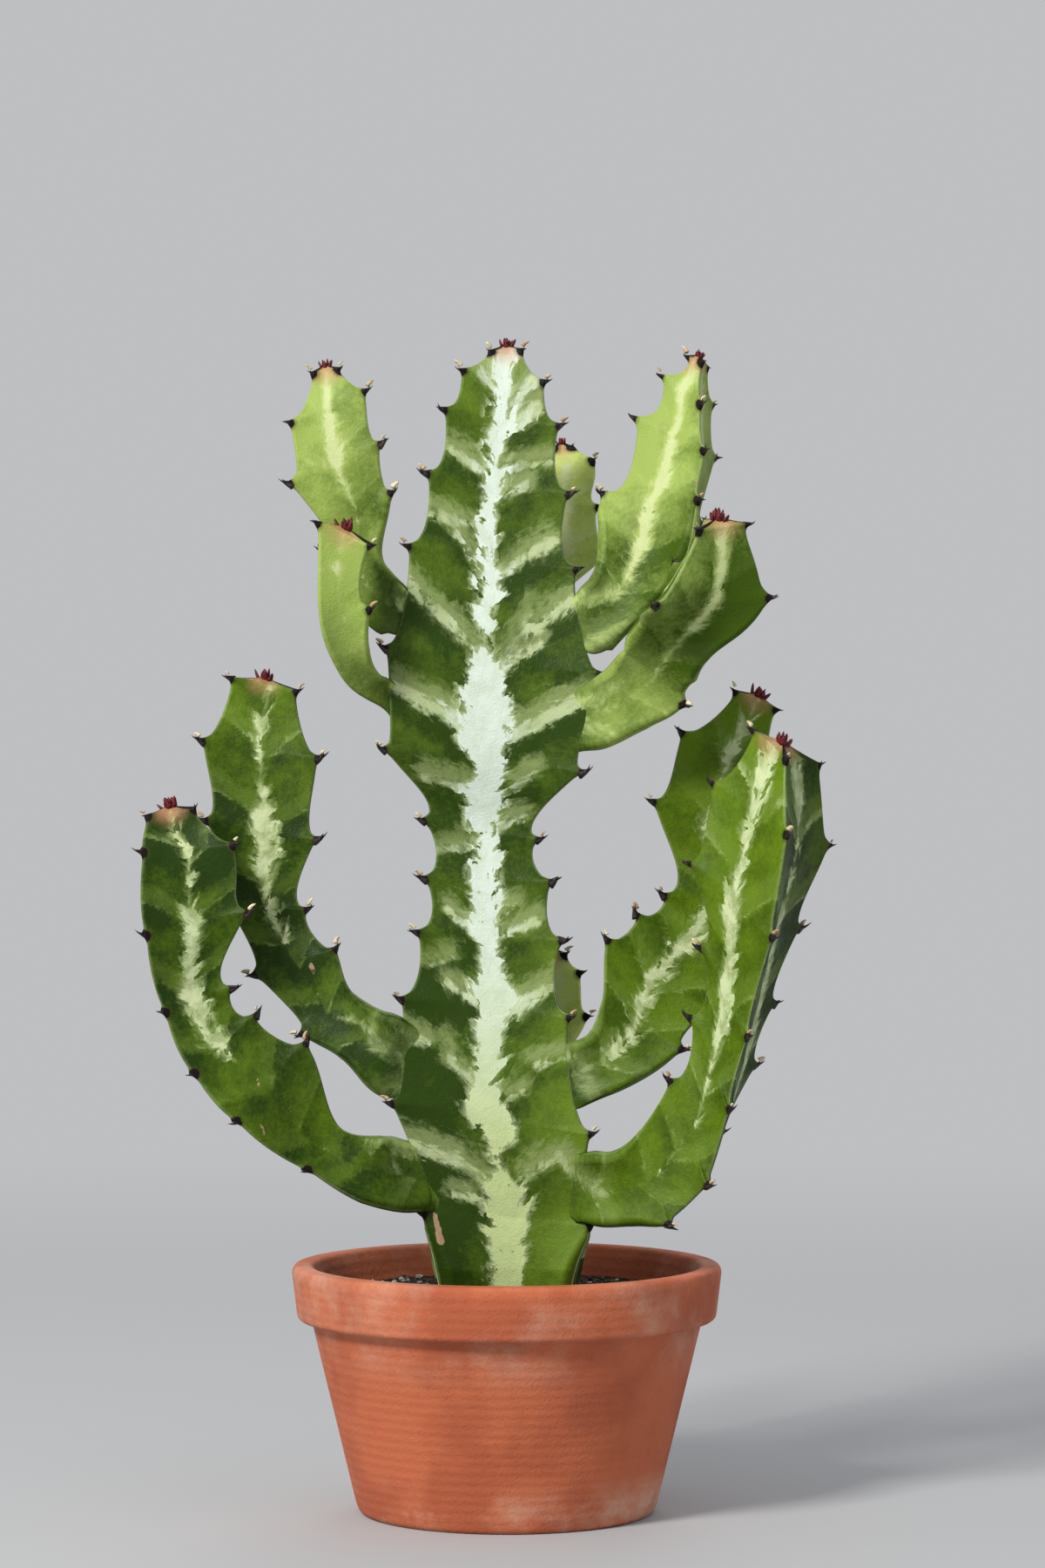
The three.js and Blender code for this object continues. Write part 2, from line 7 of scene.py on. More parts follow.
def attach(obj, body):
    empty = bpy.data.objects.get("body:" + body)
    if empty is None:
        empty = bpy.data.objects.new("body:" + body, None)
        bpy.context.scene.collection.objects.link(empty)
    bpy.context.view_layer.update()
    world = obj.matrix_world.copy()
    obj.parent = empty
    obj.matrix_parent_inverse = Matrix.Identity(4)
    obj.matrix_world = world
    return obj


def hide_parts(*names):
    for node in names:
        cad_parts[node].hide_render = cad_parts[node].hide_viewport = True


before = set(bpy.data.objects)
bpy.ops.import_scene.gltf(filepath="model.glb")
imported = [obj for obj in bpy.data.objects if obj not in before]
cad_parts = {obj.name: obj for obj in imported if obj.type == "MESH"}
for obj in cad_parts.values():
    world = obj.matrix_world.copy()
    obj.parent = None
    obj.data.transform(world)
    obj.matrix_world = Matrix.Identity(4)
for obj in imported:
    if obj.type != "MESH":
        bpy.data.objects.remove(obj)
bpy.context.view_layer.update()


# The clay pan: fired, unglazed clay, thrown on a wheel and turned while it was leather-hard. It has a
# thick collar, a flat foot with three drain holes, faint throwing lines, and salts from the water
# that has dried through its wall.
PAN_HEIGHT = 85
PAN_FOOT_RADIUS = 51
PAN_SHOULDER_RADIUS = 67.5
PAN_COLLAR_RADIUS = 74
PAN_COLLAR_FLARE = 2
PAN_COLLAR_HEIGHT = 19
PAN_WALL = 6
PAN_FLOOR = 8
PAN_EDGE = 2
PAN_COLUMNS = 144
DRAIN_RADIUS = 4
DRAIN_PLACE = 24
DRAIN_ANGLES = np.radians([30, 150, 270])
SALT_UNDER_COLLAR_M = (0.045, 0.064)
SALT_ABOVE_FOOT_M = (0.004, 0.02)
CLAY = (186, 98, 62)
CLAY_DARK = (168, 84, 52)
CLAY_DOTS = (120, 66, 46)
CLAY_SALT = (214, 190, 168)


def rgb(color):
    """Linear colour from one read off a screen: each channel to the power of about 2.2, as the
    screen's own curve has it, with full alpha."""
    share = np.array(color, float) / 255
    linear = np.where(share <= 0.04045, share / 12.92, ((share + 0.055) / 1.055) ** 2.4)
    return (*linear.tolist(), 1.0)


def node(tree, kind, inputs=None, **settings):
    """Adds a shader node with its settings. Each input is given a value or another node's output."""
    made = tree.nodes.new("ShaderNode" + kind)
    for name, value in settings.items():
        setattr(made, name, value)
    for name, value in (inputs or {}).items():
        if isinstance(value, bpy.types.NodeSocket):
            tree.links.new(value, made.inputs[name])
        else:
            made.inputs[name].default_value = value
    return made


def arithmetic(operation, first, *others, clamp=False):
    """Output of a Math node on another node's output and up to two more values or outputs."""
    inputs = dict(enumerate((first, *others)))
    return node(first.id_data, "Math", inputs, operation=operation, use_clamp=clamp).outputs[0]


def times(first, second):
    """Product of an output and a value or output."""
    return arithmetic("MULTIPLY", first, second)


def plus(base, *terms, clamp=False):
    """A base plus outputs, each of them times its factor."""
    for value, factor in terms:
        base = arithmetic("MULTIPLY_ADD", value, factor, base, clamp=clamp)
    return base


def step(value, low, high, to_low=0.0, to_high=1.0):
    """Smooth step: to_low where the value is under low, to_high where it is over high."""
    inputs = {"Value": value, "From Min": low, "From Max": high, "To Min": to_low, "To Max": to_high}
    return node(value.id_data, "MapRange", inputs, interpolation_type="SMOOTHSTEP").outputs[0]


def mix(share, first, second):
    """Colour that goes from the first to the second as the share goes from 0 to 1."""
    inputs = {0: share, 6: first, 7: second}
    return node(share.id_data, "Mix", inputs, data_type="RGBA").outputs[2]


def noise(place, scale, detail=2.0, roughness=0.5):
    """Value of a noise texture about 0.5, read at a place."""
    inputs = {"Vector": place, "Scale": scale, "Detail": detail, "Roughness": roughness}
    return node(place.id_data, "TexNoise", inputs).outputs["Fac"]


def new_group(name, inputs, outputs):
    """An empty shader node group with named inputs, given with their first values, and named
    outputs, given with their kinds. Returns the group, its input node and its output node."""
    group = bpy.data.node_groups.new(name, "ShaderNodeTree")
    for label, value in inputs.items():
        kind = "NodeSocketColor" if isinstance(value, tuple) else "NodeSocketFloat"
        group.interface.new_socket(label, in_out="INPUT", socket_type=kind).default_value = value
    for label, kind in outputs.items():
        group.interface.new_socket(label, in_out="OUTPUT", socket_type="NodeSocket" + kind)
    return group, group.nodes.new("NodeGroupInput"), group.nodes.new("NodeGroupOutput")


def new_material(name, **sockets):
    """A material with one Principled shader, whose plain sockets are given. Returns it, its tree and
    the shader."""
    material = bpy.data.materials.new(name)
    material.use_nodes = True
    shader = material.node_tree.nodes["Principled BSDF"]
    for label, value in sockets.items():
        shader.inputs[label.replace("_", " ")].default_value = value
    return material, material.node_tree, shader


def finish_with(shader, color, roughness, height, depth_mm):
    """Feeds a material's colour, roughness and bump height to its shader. The bump's full depth is
    in millimetres."""
    tree = shader.id_data
    tree.links.new(color, shader.inputs["Base Color"])
    tree.links.new(roughness, shader.inputs["Roughness"])
    bump = node(tree, "Bump", {"Height": height, "Strength": 1.0, "Distance": depth_mm * 0.001})
    tree.links.new(bump.outputs["Normal"], shader.inputs["Normal"])


def lattice_faces(rows, columns):
    """Faces of a grid of points numbered row by row, each row closed round on itself. The face
    between two rows and two columns joins their four points."""
    row, column = np.meshgrid(np.arange(rows - 1), np.arange(columns), indexing="ij")
    here = row * columns + column
    beside = row * columns + (column + 1) % columns
    return np.stack([here, beside, beside + columns, here + columns], -1).reshape(-1, 4)


def tube_faces(rows, columns):
    """Faces of a tube of closed rings, numbered row by row. A fan closes its first end to the point
    that follows the rings, and another its last end to the point after that."""
    faces = lattice_faces(rows, columns).tolist()
    last = (rows - 1) * columns
    for k in range(columns):
        after = (k + 1) % columns
        faces.append((after, k, rows * columns))
        faces.append((last + k, last + after, rows * columns + 1))
    return faces


def new_piece(name, points_mm, faces, material, slot, smooth=True):
    """A mesh object from points in millimetres and a list of faces, which rides on the body."""
    mesh = bpy.data.meshes.new(name)
    mesh.from_pydata((np.asarray(points_mm) * 0.001).tolist(), [], [list(f) for f in faces])
    mesh.update()
    if smooth:
        mesh.shade_smooth()
    mesh.materials.append(material)
    piece = bpy.data.objects.new(name, mesh)
    bpy.context.scene.collection.objects.link(piece)
    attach(piece, "root")
    return piece


def rounded(profile, radius, steps=5):
    """A profile with its inner corners rounded: each corner becomes an arc-like curve whose point at
    share t is the weighted mean (1-t)^2, 2t(1-t), t^2 of the arc's start, the corner and its end."""
    profile = np.array(profile, float)
    t = np.linspace(0, 1, steps)[:, None]
    points = [profile[:1]]
    for before, corner, after in zip(profile[:-2], profile[1:-1], profile[2:]):
        ends = []
        for other in (before, after):
            length = np.linalg.norm(other - corner)
            ends.append(corner + (other - corner) * min(radius / length, 0.45))
        points.append((1 - t) ** 2 * ends[0] + 2 * t * (1 - t) * corner + t ** 2 * ends[1])
    return np.concatenate([*points, profile[-1:]])


def turned(profile, columns):
    """Surface of a profile of radius and height, from axis to axis, turned round the Z axis: the
    point at angle a is (radius cos a, radius sin a, height). The two ends close on the axis."""
    angles = np.linspace(0, 2 * np.pi, columns, endpoint=False)
    radius, height = np.array(profile[1:-1], float).T
    ring = np.stack([np.cos(angles), np.sin(angles), 0 * angles], 1)
    points = radius[:, None, None] * ring + np.array([0, 0, 1]) * height[:, None, None]
    points = np.concatenate([points.reshape(-1, 3), [[0, 0, profile[0][1]], [0, 0, profile[-1][1]]]])
    return points, tube_faces(len(radius), columns)


def pan_inner_radius(z):
    """Radius of the pan's inner wall at a height: a straight slope from the floor to the edge."""
    low = PAN_FOOT_RADIUS - PAN_WALL
    high = PAN_COLLAR_RADIUS - PAN_WALL - PAN_EDGE
    return low + (high - low) * (z - PAN_FLOOR) / (PAN_HEIGHT - PAN_FLOOR)


collar_foot = PAN_HEIGHT - PAN_COLLAR_HEIGHT
pan_profile = rounded([
    (0, 0),
    (PAN_FOOT_RADIUS - 6, 0),
    (PAN_FOOT_RADIUS - 0.6, 0),
    (PAN_FOOT_RADIUS + 0.8, 3),
    (PAN_SHOULDER_RADIUS - 0.4, collar_foot - 0.4),
    (PAN_COLLAR_RADIUS - PAN_COLLAR_FLARE, collar_foot + 0.6),
    (PAN_COLLAR_RADIUS, PAN_HEIGHT - 2),
    (PAN_COLLAR_RADIUS - 1.2, PAN_HEIGHT),
    (pan_inner_radius(PAN_HEIGHT) + 1, PAN_HEIGHT),
    (pan_inner_radius(PAN_HEIGHT) - 0.6, PAN_HEIGHT - 3),
    (pan_inner_radius(PAN_FLOOR) + 0.4, PAN_FLOOR),
    (0, PAN_FLOOR),
], 1.6)
pan_points, pan_faces = turned(pan_profile, PAN_COLUMNS)

grain, grain_in, grain_out = new_group(
    "fine_grain", {"Scale": 400.0, "Contrast": 1.0}, {"Fine": "Float", "Broad": "Float"})
place = node(grain, "TexCoord").outputs["Object"]
scale, contrast = (grain_in.outputs[label] for label in ("Scale", "Contrast"))
middle = plus(0.5, (contrast, -0.5))
fine = noise(place, scale, 4.0, 0.6)
broad = noise(place, times(scale, 0.08), 3.0, 0.55)
for label, value in (("Fine", fine), ("Broad", broad)):
    grain.links.new(plus(middle, (value, contrast)), grain_out.inputs[label])


def grain_of(tree, scale, contrast):
    """The fine and the broad value of the grain, placed in a material with its own values."""
    made = node(tree, "Group", {"Scale": scale, "Contrast": contrast}, node_tree=grain)
    return made.outputs["Fine"], made.outputs["Broad"]


clay, tree, shader = new_material("fired_clay")
place = node(tree, "TexCoord").outputs["Object"]
height_here = node(tree, "SeparateXYZ", {0: place}).outputs["Z"]
speckle, _ = grain_of(tree, 900.0, 1.2)
cloud_fine, cloud = grain_of(tree, 420.0, 1.6)
tint = mix(step(cloud, 0.3, 0.7), rgb(CLAY_DARK), rgb(CLAY))
tint = mix(step(speckle, 0.66, 0.74, 0.0, 0.5), tint, rgb(CLAY_DOTS))
# Salts lie thickest just under the collar and above the foot, in clouds with soft edges
under_collar = step(height_here, *SALT_UNDER_COLLAR_M, 0.0, 0.55)
above_foot = step(height_here, *SALT_ABOVE_FOOT_M, 1.0, 0.0)
salt_cloud = step(noise(place, 30.0, 8.0, 0.7), 0.42, 0.8, 0.0, 0.75)
salt = times(salt_cloud, arithmetic("MAXIMUM", under_collar, above_foot))
tint = mix(salt, tint, rgb(CLAY_SALT))
rings = node(tree, "TexWave", {"Vector": place, "Scale": 95.0, "Distortion": 1.2, "Detail": 2.0},
             bands_direction="Z").outputs["Fac"]
rough = step(cloud_fine, 0.2, 0.8, 0.78, 0.92)
finish_with(shader, tint, rough, plus(speckle, (rings, 0.35)), 0.25)

pan = new_piece("clay_pan", pan_points, pan_faces, clay, "terracotta")
cutters = []
for angle in DRAIN_ANGLES:
    center = np.array([np.cos(angle), np.sin(angle), 0]) * DRAIN_PLACE
    points, faces = turned([(0, -4), (DRAIN_RADIUS, -4), (DRAIN_RADIUS, 14), (0, 14)], 32)
    cutters.append(new_piece("drain_cutter", points + center, faces, clay, "terracotta"))
for cutter in cutters:
    drill = pan.modifiers.new("drain", "BOOLEAN")
    drill.operation = "DIFFERENCE"
    drill.solver = "EXACT"
    drill.object = cutter
drilled = bpy.data.meshes.new_from_object(pan.evaluated_get(bpy.context.evaluated_depsgraph_get()))
pan.modifiers.clear()
pan.data = drilled
for cutter in cutters:
    bpy.data.objects.remove(cutter)
for polygon in pan.data.polygons:
    polygon.use_smooth = True
pan.data.set_sharp_from_angle(angle=np.radians(50))
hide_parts("pot")


# The potting soil: dark peat and bark with grit and white grains of perlite. It fills the pan to
# just below its edge, a little higher round the stem, and loose grains lie on top.
SOIL_TOP = 74
SOIL_MOUND = 2.5
SOIL_MOUND_RADIUS = 34
SOIL_BOTTOM = 8.4
SOIL_RADIUS = pan_inner_radius(SOIL_TOP) - 0.3
SOIL_LUMPS = 0.27
SOIL_WAVES = [
    (0.9, 2.1, 7.0), (2.2, 0.3, 5.0), (0.2, 1.1, 3.7), (1.3, 4.0, 2.6), (2.9, 5.2, 1.9), (0.6, 3.3, 1.4),
]
SOIL_RINGS = 64
SOIL_COLUMNS = 200
LOOSE_GRAINS = 620
PERLITE_GRAINS = 90
SOIL_DARK = (44, 32, 24)
SOIL_LIGHT = (92, 70, 52)
SOIL_DAMP = (30, 22, 17)


def soil_height(x, y):
    """Height of the soil's top: the fill, plus a mound that falls off as a bell curve from the middle,
    plus lumps, which are a sum of six waves in different directions and lengths."""
    height = SOIL_TOP + SOIL_MOUND * np.exp(-(x ** 2 + y ** 2) / SOIL_MOUND_RADIUS ** 2)
    for turn, phase, length in SOIL_WAVES:
        run = (x * np.cos(turn) + y * np.sin(turn)) / length
        lump = np.sin(2 * np.pi * run / 2.4 + phase + np.sin(run * 0.7 + phase))
        height = height + SOIL_LUMPS * lump
    return height


radius = np.concatenate([[0.02], np.linspace(1, SOIL_RADIUS, SOIL_RINGS)])
angles = np.linspace(0, 2 * np.pi, SOIL_COLUMNS, endpoint=False)
x = radius[:, None] * np.cos(angles)
y = radius[:, None] * np.sin(angles)
top_points = np.stack([x, y, soil_height(x, y)], -1)
deep = np.array([[SOIL_RADIUS - 18, 9], [SOIL_RADIUS - 24, SOIL_BOTTOM], [0.02, SOIL_BOTTOM]])
deep_points = np.stack([deep[:, :1] * np.cos(angles), deep[:, :1] * np.sin(angles),
                        deep[:, 1:] + 0 * angles], -1)
soil_points = np.concatenate([top_points, deep_points])
soil_faces = lattice_faces(len(soil_points), SOIL_COLUMNS)[:, ::-1].tolist()
soil_faces.append(tuple(range(SOIL_COLUMNS)))
soil_faces.append(tuple(range(len(soil_points) * SOIL_COLUMNS))[-SOIL_COLUMNS:][::-1])

earth, tree, shader = new_material("potting_soil")
crumbs, _ = grain_of(tree, 1400.0, 1.8)
_, damp = grain_of(tree, 1800.0, 2.0)
tint = mix(step(crumbs, 0.35, 0.8), rgb(SOIL_DARK), rgb(SOIL_LIGHT))
tint = mix(step(damp, 0.3, 0.8, 0.0, 0.5), tint, rgb(SOIL_DAMP))
finish_with(shader, tint, step(crumbs, 0.2, 0.8, 0.85, 0.97), crumbs, 1.4)
soil = new_piece("potting_soil_top", soil_points.reshape(-1, 3), soil_faces, earth, "potting_soil")
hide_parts("soil")


def pebbles(count, size, flatness, seed):
    """Loose grains on the soil. Each is a cube's eight corners pushed out to a rough ball, stretched
    by three random shares, turned at random and set on the soil at an even random place."""
    draw = np.random.default_rng(seed)
    corner = np.array([[a, b, c] for a in (-1, 1) for b in (-1, 1) for c in (-1, 1)], float) * 0.55
    middle = np.concatenate([np.eye(3), -np.eye(3)])
    shape = np.concatenate([corner, middle])
    faces = np.array([
        (8 + side, a, b) for side, out in enumerate(middle) for a in range(8) for b in range(8)
        if min(corner[a] @ out, corner[b] @ out, np.cross(corner[a], corner[b]) @ out) > 0])
    lumps = shape * draw.uniform(0.75, 1.2, (count, len(shape), 1))
    shares = draw.uniform(0.55, 1.0, (count, 1, 3))
    lumps = lumps * (shares * draw.uniform(0.4, 1.0, (count, 1, 1)) * size)
    turn = draw.uniform(0, 2 * np.pi, (count, 1))
    x = lumps[..., 0] * np.cos(turn) - lumps[..., 1] * np.sin(turn)
    y = lumps[..., 0] * np.sin(turn) + lumps[..., 1] * np.cos(turn)
    far = (SOIL_RADIUS - 2.5) * np.sqrt(draw.uniform(0.06, 1, (count, 1)))
    around = draw.uniform(0, 2 * np.pi, (count, 1))
    spot_x, spot_y = far * np.cos(around), far * np.sin(around)
    z = lumps[..., 2] * flatness + soil_height(spot_x, spot_y) + 0.25 * size * flatness
    points = np.stack([x + spot_x, y + spot_y, z], -1).reshape(-1, 3)
    shifts = np.arange(count)[:, None, None] * len(shape)
    return points, (faces + shifts).reshape(-1, 3)


grit, tree, shader = new_material("grit_and_bark")
crumbs, _ = grain_of(tree, 2600.0, 1.4)
_, shades = grain_of(tree, 6000.0, 2.6)
tint = mix(step(shades, 0.25, 0.75), rgb((58, 40, 29)), rgb((128, 104, 82)))
finish_with(shader, tint, step(crumbs, 0.2, 0.8, 0.8, 0.95), crumbs, 0.4)
new_piece("loose_grit", *pebbles(LOOSE_GRAINS, 1.5, 0.7, 11), grit, "potting_soil", smooth=False)

perlite, tree, shader = new_material("perlite")
crumbs, _ = grain_of(tree, 3200.0, 1.4)
tint = mix(crumbs, rgb((188, 182, 170)), rgb((232, 229, 220)))
finish_with(shader, tint, step(crumbs, 0.2, 0.8, 0.8, 0.95), crumbs, 0.4)
grains = pebbles(PERLITE_GRAINS, 1.7, 0.85, 12)
new_piece("perlite_grains", *grains, perlite, "potting_soil", smooth=False)


# The main stem: one upright column of green, water-filled flesh with three ribs, grown from the tip.
# Each season's growth is a row of teeth with a scalloped margin between them. Its faces carry a
# white band with torn edges, and a pale streak runs out from the band to each hollow of the margin.
EYE = np.array([5.4, -1500.0, 250.0])
RIB_ANGLES = np.radians([210, 330, 450])
RIB_TO_FACE = np.radians(60)
TOOTH_INSET = 1.5
PEAK_HEIGHT = 1.7
PEAK_HALF = 1.9
PEAK_ABOVE_SHARE = 0.6
PEAK_FADE = 10
WAVE_SKEW = 0.62
WAVE_FULLNESS = 0.75
WAVE_FULL_LENGTH = 18
EDGE_HALF = 0.95
EDGE_BULGE = 0.8
NECK_EDGE_SHARE = 0.24
CORE_SHARE = 0.4
NECK_CORE_SHARE = 0.53
ROW_SPACING = 0.9
ROW_CROWDING = 1.2
POINT_CROWDING = 1.45
EDGE_POINTS = 7
FACE_POINTS = 25
FACE_ROUNDNESS = 0.9
SWELLING = 0.7
SWELLING_LENGTH = 3.5
STREAK_SLOPE = 0.6
STREAK_SHARE = 0.33
STREAK_WIDTH = 3.4
HAZE_SHARE = 0.32
SHADE_LENGTH = 8.5
END_RINGS = 6
TIP_RISE = 2.2
ROOT_DEPTH = 7.0


def unit(vectors):
    """Vectors of length one."""
    return vectors / np.linalg.norm(vectors, axis=-1, keepdims=True)


def square_to(vectors, axes):
    """Vectors less their part along unit axes."""
    return vectors - axes * np.sum(vectors * axes, -1, keepdims=True)


def column(values):
    """A list of numbers as a column, to multiply rows of vectors by."""
    return np.asarray(values)[:, None]


def at_depth(x, z, depth):
    """Points of the front elevation moved along their lines from the eye to their own depth."""
    flat = np.stack([x, 0 * x, z], 1) - EYE
    return EYE + flat * column((depth - EYE[1]) / -EYE[1])


def stem_levels(rows):
    """Levels of a stem from its rows, each of them its left tooth's x and z, its right tooth's x and
    z, its depth, its roll in degrees, letters for the ribs that carry a tooth, and how far the back
    tooth is shifted along the stem and what share of the reach it has. The growing direction of a
    level is that from the level below to the level above. The across direction goes from the left
    tooth to the right tooth, square to it, and the reach of the three ribs is their distance over
    the square root of 3 and over the cosine of the roll. The centre lies half a reach behind the
    middle of the two teeth."""
    left_x, left_z, right_x, right_z, depth, roll, back_shift, back_share = np.array(
        [row[:6] + row[7:] for row in rows], float).T
    roll = np.radians(roll)
    middle = at_depth((left_x + right_x) / 2, (left_z + right_z) / 2, depth)
    padded = np.concatenate([middle[:1], middle, middle[-1:]])
    growing = unit(padded[2:] - padded[:-2])
    reach = 0 * depth
    for _ in range(2):
        left = at_depth(left_x, left_z, depth + reach * np.sin(RIB_ANGLES[0] + roll))
        right = at_depth(right_x, right_z, depth + reach * np.sin(RIB_ANGLES[1] + roll))
        left[:, 1] = right[:, 1] = depth
        across = square_to(right - left, growing)
        reach = np.linalg.norm(across, axis=1) / (np.sqrt(3) * np.cos(roll))
    across = unit(across)
    away = np.cross(growing, across)
    middle = (left + right) / 2
    beside, behind = 0.5 * reach * np.sin(roll), 0.5 * reach * np.cos(roll)
    centre = middle - across * column(beside) + away * column(behind)
    centre[:, 1] = depth
    left_skew, right_skew = (np.sum((side - middle) * growing, 1) for side in (left, right))
    skew = np.stack([left_skew, right_skew, back_shift], 1)
    teeth = np.array([[letter in row[6] for letter in "LRB"] for row in rows], float)
    along = np.concatenate([[0], np.cumsum(np.linalg.norm(np.diff(centre, axis=0), axis=1))])
    return {
        "centre": centre, "growing": growing, "across": across, "roll": roll, "reach": reach,
        "shares": np.stack([1 + 0 * roll, 1 + 0 * roll, back_share], 1), "skew": skew,
        "teeth": teeth, "plain": (teeth.sum(1) == 0).astype(float), "along": along,
    }


def between(along, values, level, share):
    """Smooth values at shares of the way from levels to the next ones: a cubic whose slope at a
    level is the mean of the slopes on its two sides, weighted by the lengths."""
    values = values.reshape(len(along), -1)
    length = np.diff(along)[:, None]
    over = np.diff(values, axis=0) / length
    inner = (over[:-1] * length[1:] + over[1:] * length[:-1]) / (length[1:] + length[:-1])
    slope = np.concatenate([over[:1], inner, over[-1:]])
    t = share[:, None]
    rise = 3 * t ** 2 - 2 * t ** 3
    start_pull = (t ** 3 - 2 * t ** 2 + t) * length[level] * slope[level]
    end_pull = (t ** 3 - t ** 2) * length[level] * slope[level + 1]
    made = values[level] * (1 - rise) + values[level + 1] * rise + start_pull + end_pull
    return made if made.shape[1] > 1 else made[:, 0]


def straight(values, level, share):
    """Values at shares of the way from levels to the next ones, on straight lines."""
    t = share if values.ndim == 1 else share[:, None]
    return values[level] * (1 - t) + values[level + 1] * t


def direction(across, away, angle):
    """Direction in a cross-section at an angle from across towards away."""
    return across * column(np.cos(angle)) + away * column(np.sin(angle))


def stem_surface(neck, rows, waves):
    """Fine surface of a stem as a grid: rows along the stem, and in each row the points round its
    section. The neck's rows carry no teeth, and the others all three unless their letters differ. A
    rib's reach is the level's reach less an inset and less a scallop, which is the rib's wave depth
    times sin(pi t^0.62)^0.75 at share t above a tooth, plus a narrow bell-shaped peak at each tooth.
    A rib's edge is half an ellipse. A face between two ribs is the straight line between their edges
    plus its hollow times (1 - u^2)^0.9, with u from -1 to 1 across the face. It swells a little by
    each tooth, and the teeth's peaks fade over it as u^10. Also gives what the skin's pattern reads:
    each point's place across its face, its place along the stem on the slope of the streaks, its
    face and its distance from the margin, and how far it lies above the nearest hollow of its margin,
    with the distance from that hollow to the next."""
    rows = [row + (0, "", 0, 1)[len(row) - 5:] for row in neck] + [
        row + (0, "LRB", 0, 1)[len(row) - 5:] for row in rows]
    at = stem_levels(rows)
    lengths = np.diff(at["along"])
    counts = np.maximum(5, np.ceil(lengths / ROW_SPACING).astype(int))
    level = np.concatenate([np.repeat(np.arange(len(counts)), counts), [len(counts) - 1]])
    share = np.concatenate([*[(np.arange(n) / n) ** ROW_CROWDING for n in counts], [1.0]])
    row_along = straight(at["along"], level, share)

    centre, growing, across, roll, reach, shares, skew = (
        between(at["along"], at[label], level, share)
        for label in ("centre", "growing", "across", "roll", "reach", "shares", "skew"))
    growing = unit(growing)
    across = unit(square_to(across, growing))
    away = np.cross(growing, across)
    plain = straight(at["plain"], level, share)
    wave = np.sin(np.pi * share ** WAVE_SKEW).clip(0) ** WAVE_FULLNESS
    wave = wave * np.minimum(1, lengths[level] / WAVE_FULL_LENGTH)
    inset = straight(at["teeth"], level, share) * TOOTH_INSET
    scallop = at["teeth"][level] * np.array(waves) * column(wave)
    from_tooth = row_along[:, None] - at["along"][None]
    bell_half = np.where(from_tooth > 0, PEAK_ABOVE_SHARE * PEAK_HALF, PEAK_HALF)
    bells = np.exp(-(from_tooth / bell_half) ** 2)
    peak = PEAK_HEIGHT * (bells @ at["teeth"]).clip(0, 1)
    rib_reach = np.maximum(column(reach) * shares - inset - scallop, EDGE_HALF) + peak
    edge_half = EDGE_HALF * (1 - plain) + NECK_EDGE_SHARE * reach * plain
    core = (CORE_SHARE * (1 - plain) + NECK_CORE_SHARE * plain) * reach

    turn = np.linspace(0, np.pi, EDGE_POINTS)
    u = np.linspace(-1, 1, FACE_POINTS + 2)[1:-1]
    u = np.sin(u * POINT_CROWDING) / np.sin(POINT_CROWDING)
    edges, tips = [], []
    for rib, angle in enumerate(RIB_ANGLES):
        out = direction(across, away, angle + roll)
        side = direction(across, away, angle + roll + np.pi / 2)
        tip = centre + growing * column(skew[:, rib]) + out * column(rib_reach[:, rib])
        bend = -np.cos(turn) * edge_half[:, None]
        bulge = np.sin(turn) * EDGE_BULGE * np.minimum(edge_half, 3 * EDGE_HALF)[:, None]
        edges.append(tip[:, None] + side[:, None] * bend[..., None] + out[:, None] * bulge[..., None])
        tips.append((tip, out, side))

    raised = [out * column(peak[:, rib]) for rib, (tip, out, side) in enumerate(tips)]
    ring, skin = [], []
    for rib in range(3):
        other, last = (rib + 1) % 3, (rib + 2) % 3
        after, before = edges[rib][:, -1] - raised[rib], edges[other][:, 0] - raised[other]
        outward = direction(across, away, RIB_ANGLES[rib] + roll + RIB_TO_FACE)
        hollow = core - np.sum(((after + before) / 2 - centre) * outward, 1)
        half = column(np.linalg.norm(before - after, axis=1) / 2)
        blend = (u + 1) / 2
        place = row_along[:, None] + skew[:, rib, None] * (1 - blend) + skew[:, other, None] * blend
        inward = half * (1 - np.abs(u))
        swell = np.exp(-(from_tooth / SWELLING_LENGTH) ** 2) @ at["teeth"][:, [rib, other]]
        swell = SWELLING * (swell[:, :1] * (u < 0) + swell[:, 1:] * (u >= 0)) * (u ** 2 - u ** 8)
        face = after[:, None] * (1 - blend)[None, :, None] + before[:, None] * blend[None, :, None]
        rise = column(hollow) * (1 - u ** 2) ** FACE_ROUNDNESS + swell
        face = face + outward[:, None] * rise[..., None]
        lobe = column(u ** PEAK_FADE)
        face = face + np.where(column(u) < 0, raised[rib][:, None], raised[other][:, None]) * lobe
        ring += [edges[rib], face]
        last_half = column(np.linalg.norm(edges[rib][:, 0] - edges[last][:, -1], axis=1) / 2)
        first = turn < np.pi / 2
        on_edge = (np.where(first, last_half, -half), column(row_along + skew[:, rib]),
                   np.where(first, last, rib), column(edge_half) * np.abs(np.cos(turn)), rib)
        on_face = (u * half, place + STREAK_SLOPE * inward, rib, inward + column(edge_half),
                   np.where(u < 0, rib, other))
        skin += [np.stack(np.broadcast_arrays(*values), -1) for values in (on_edge, on_face)]

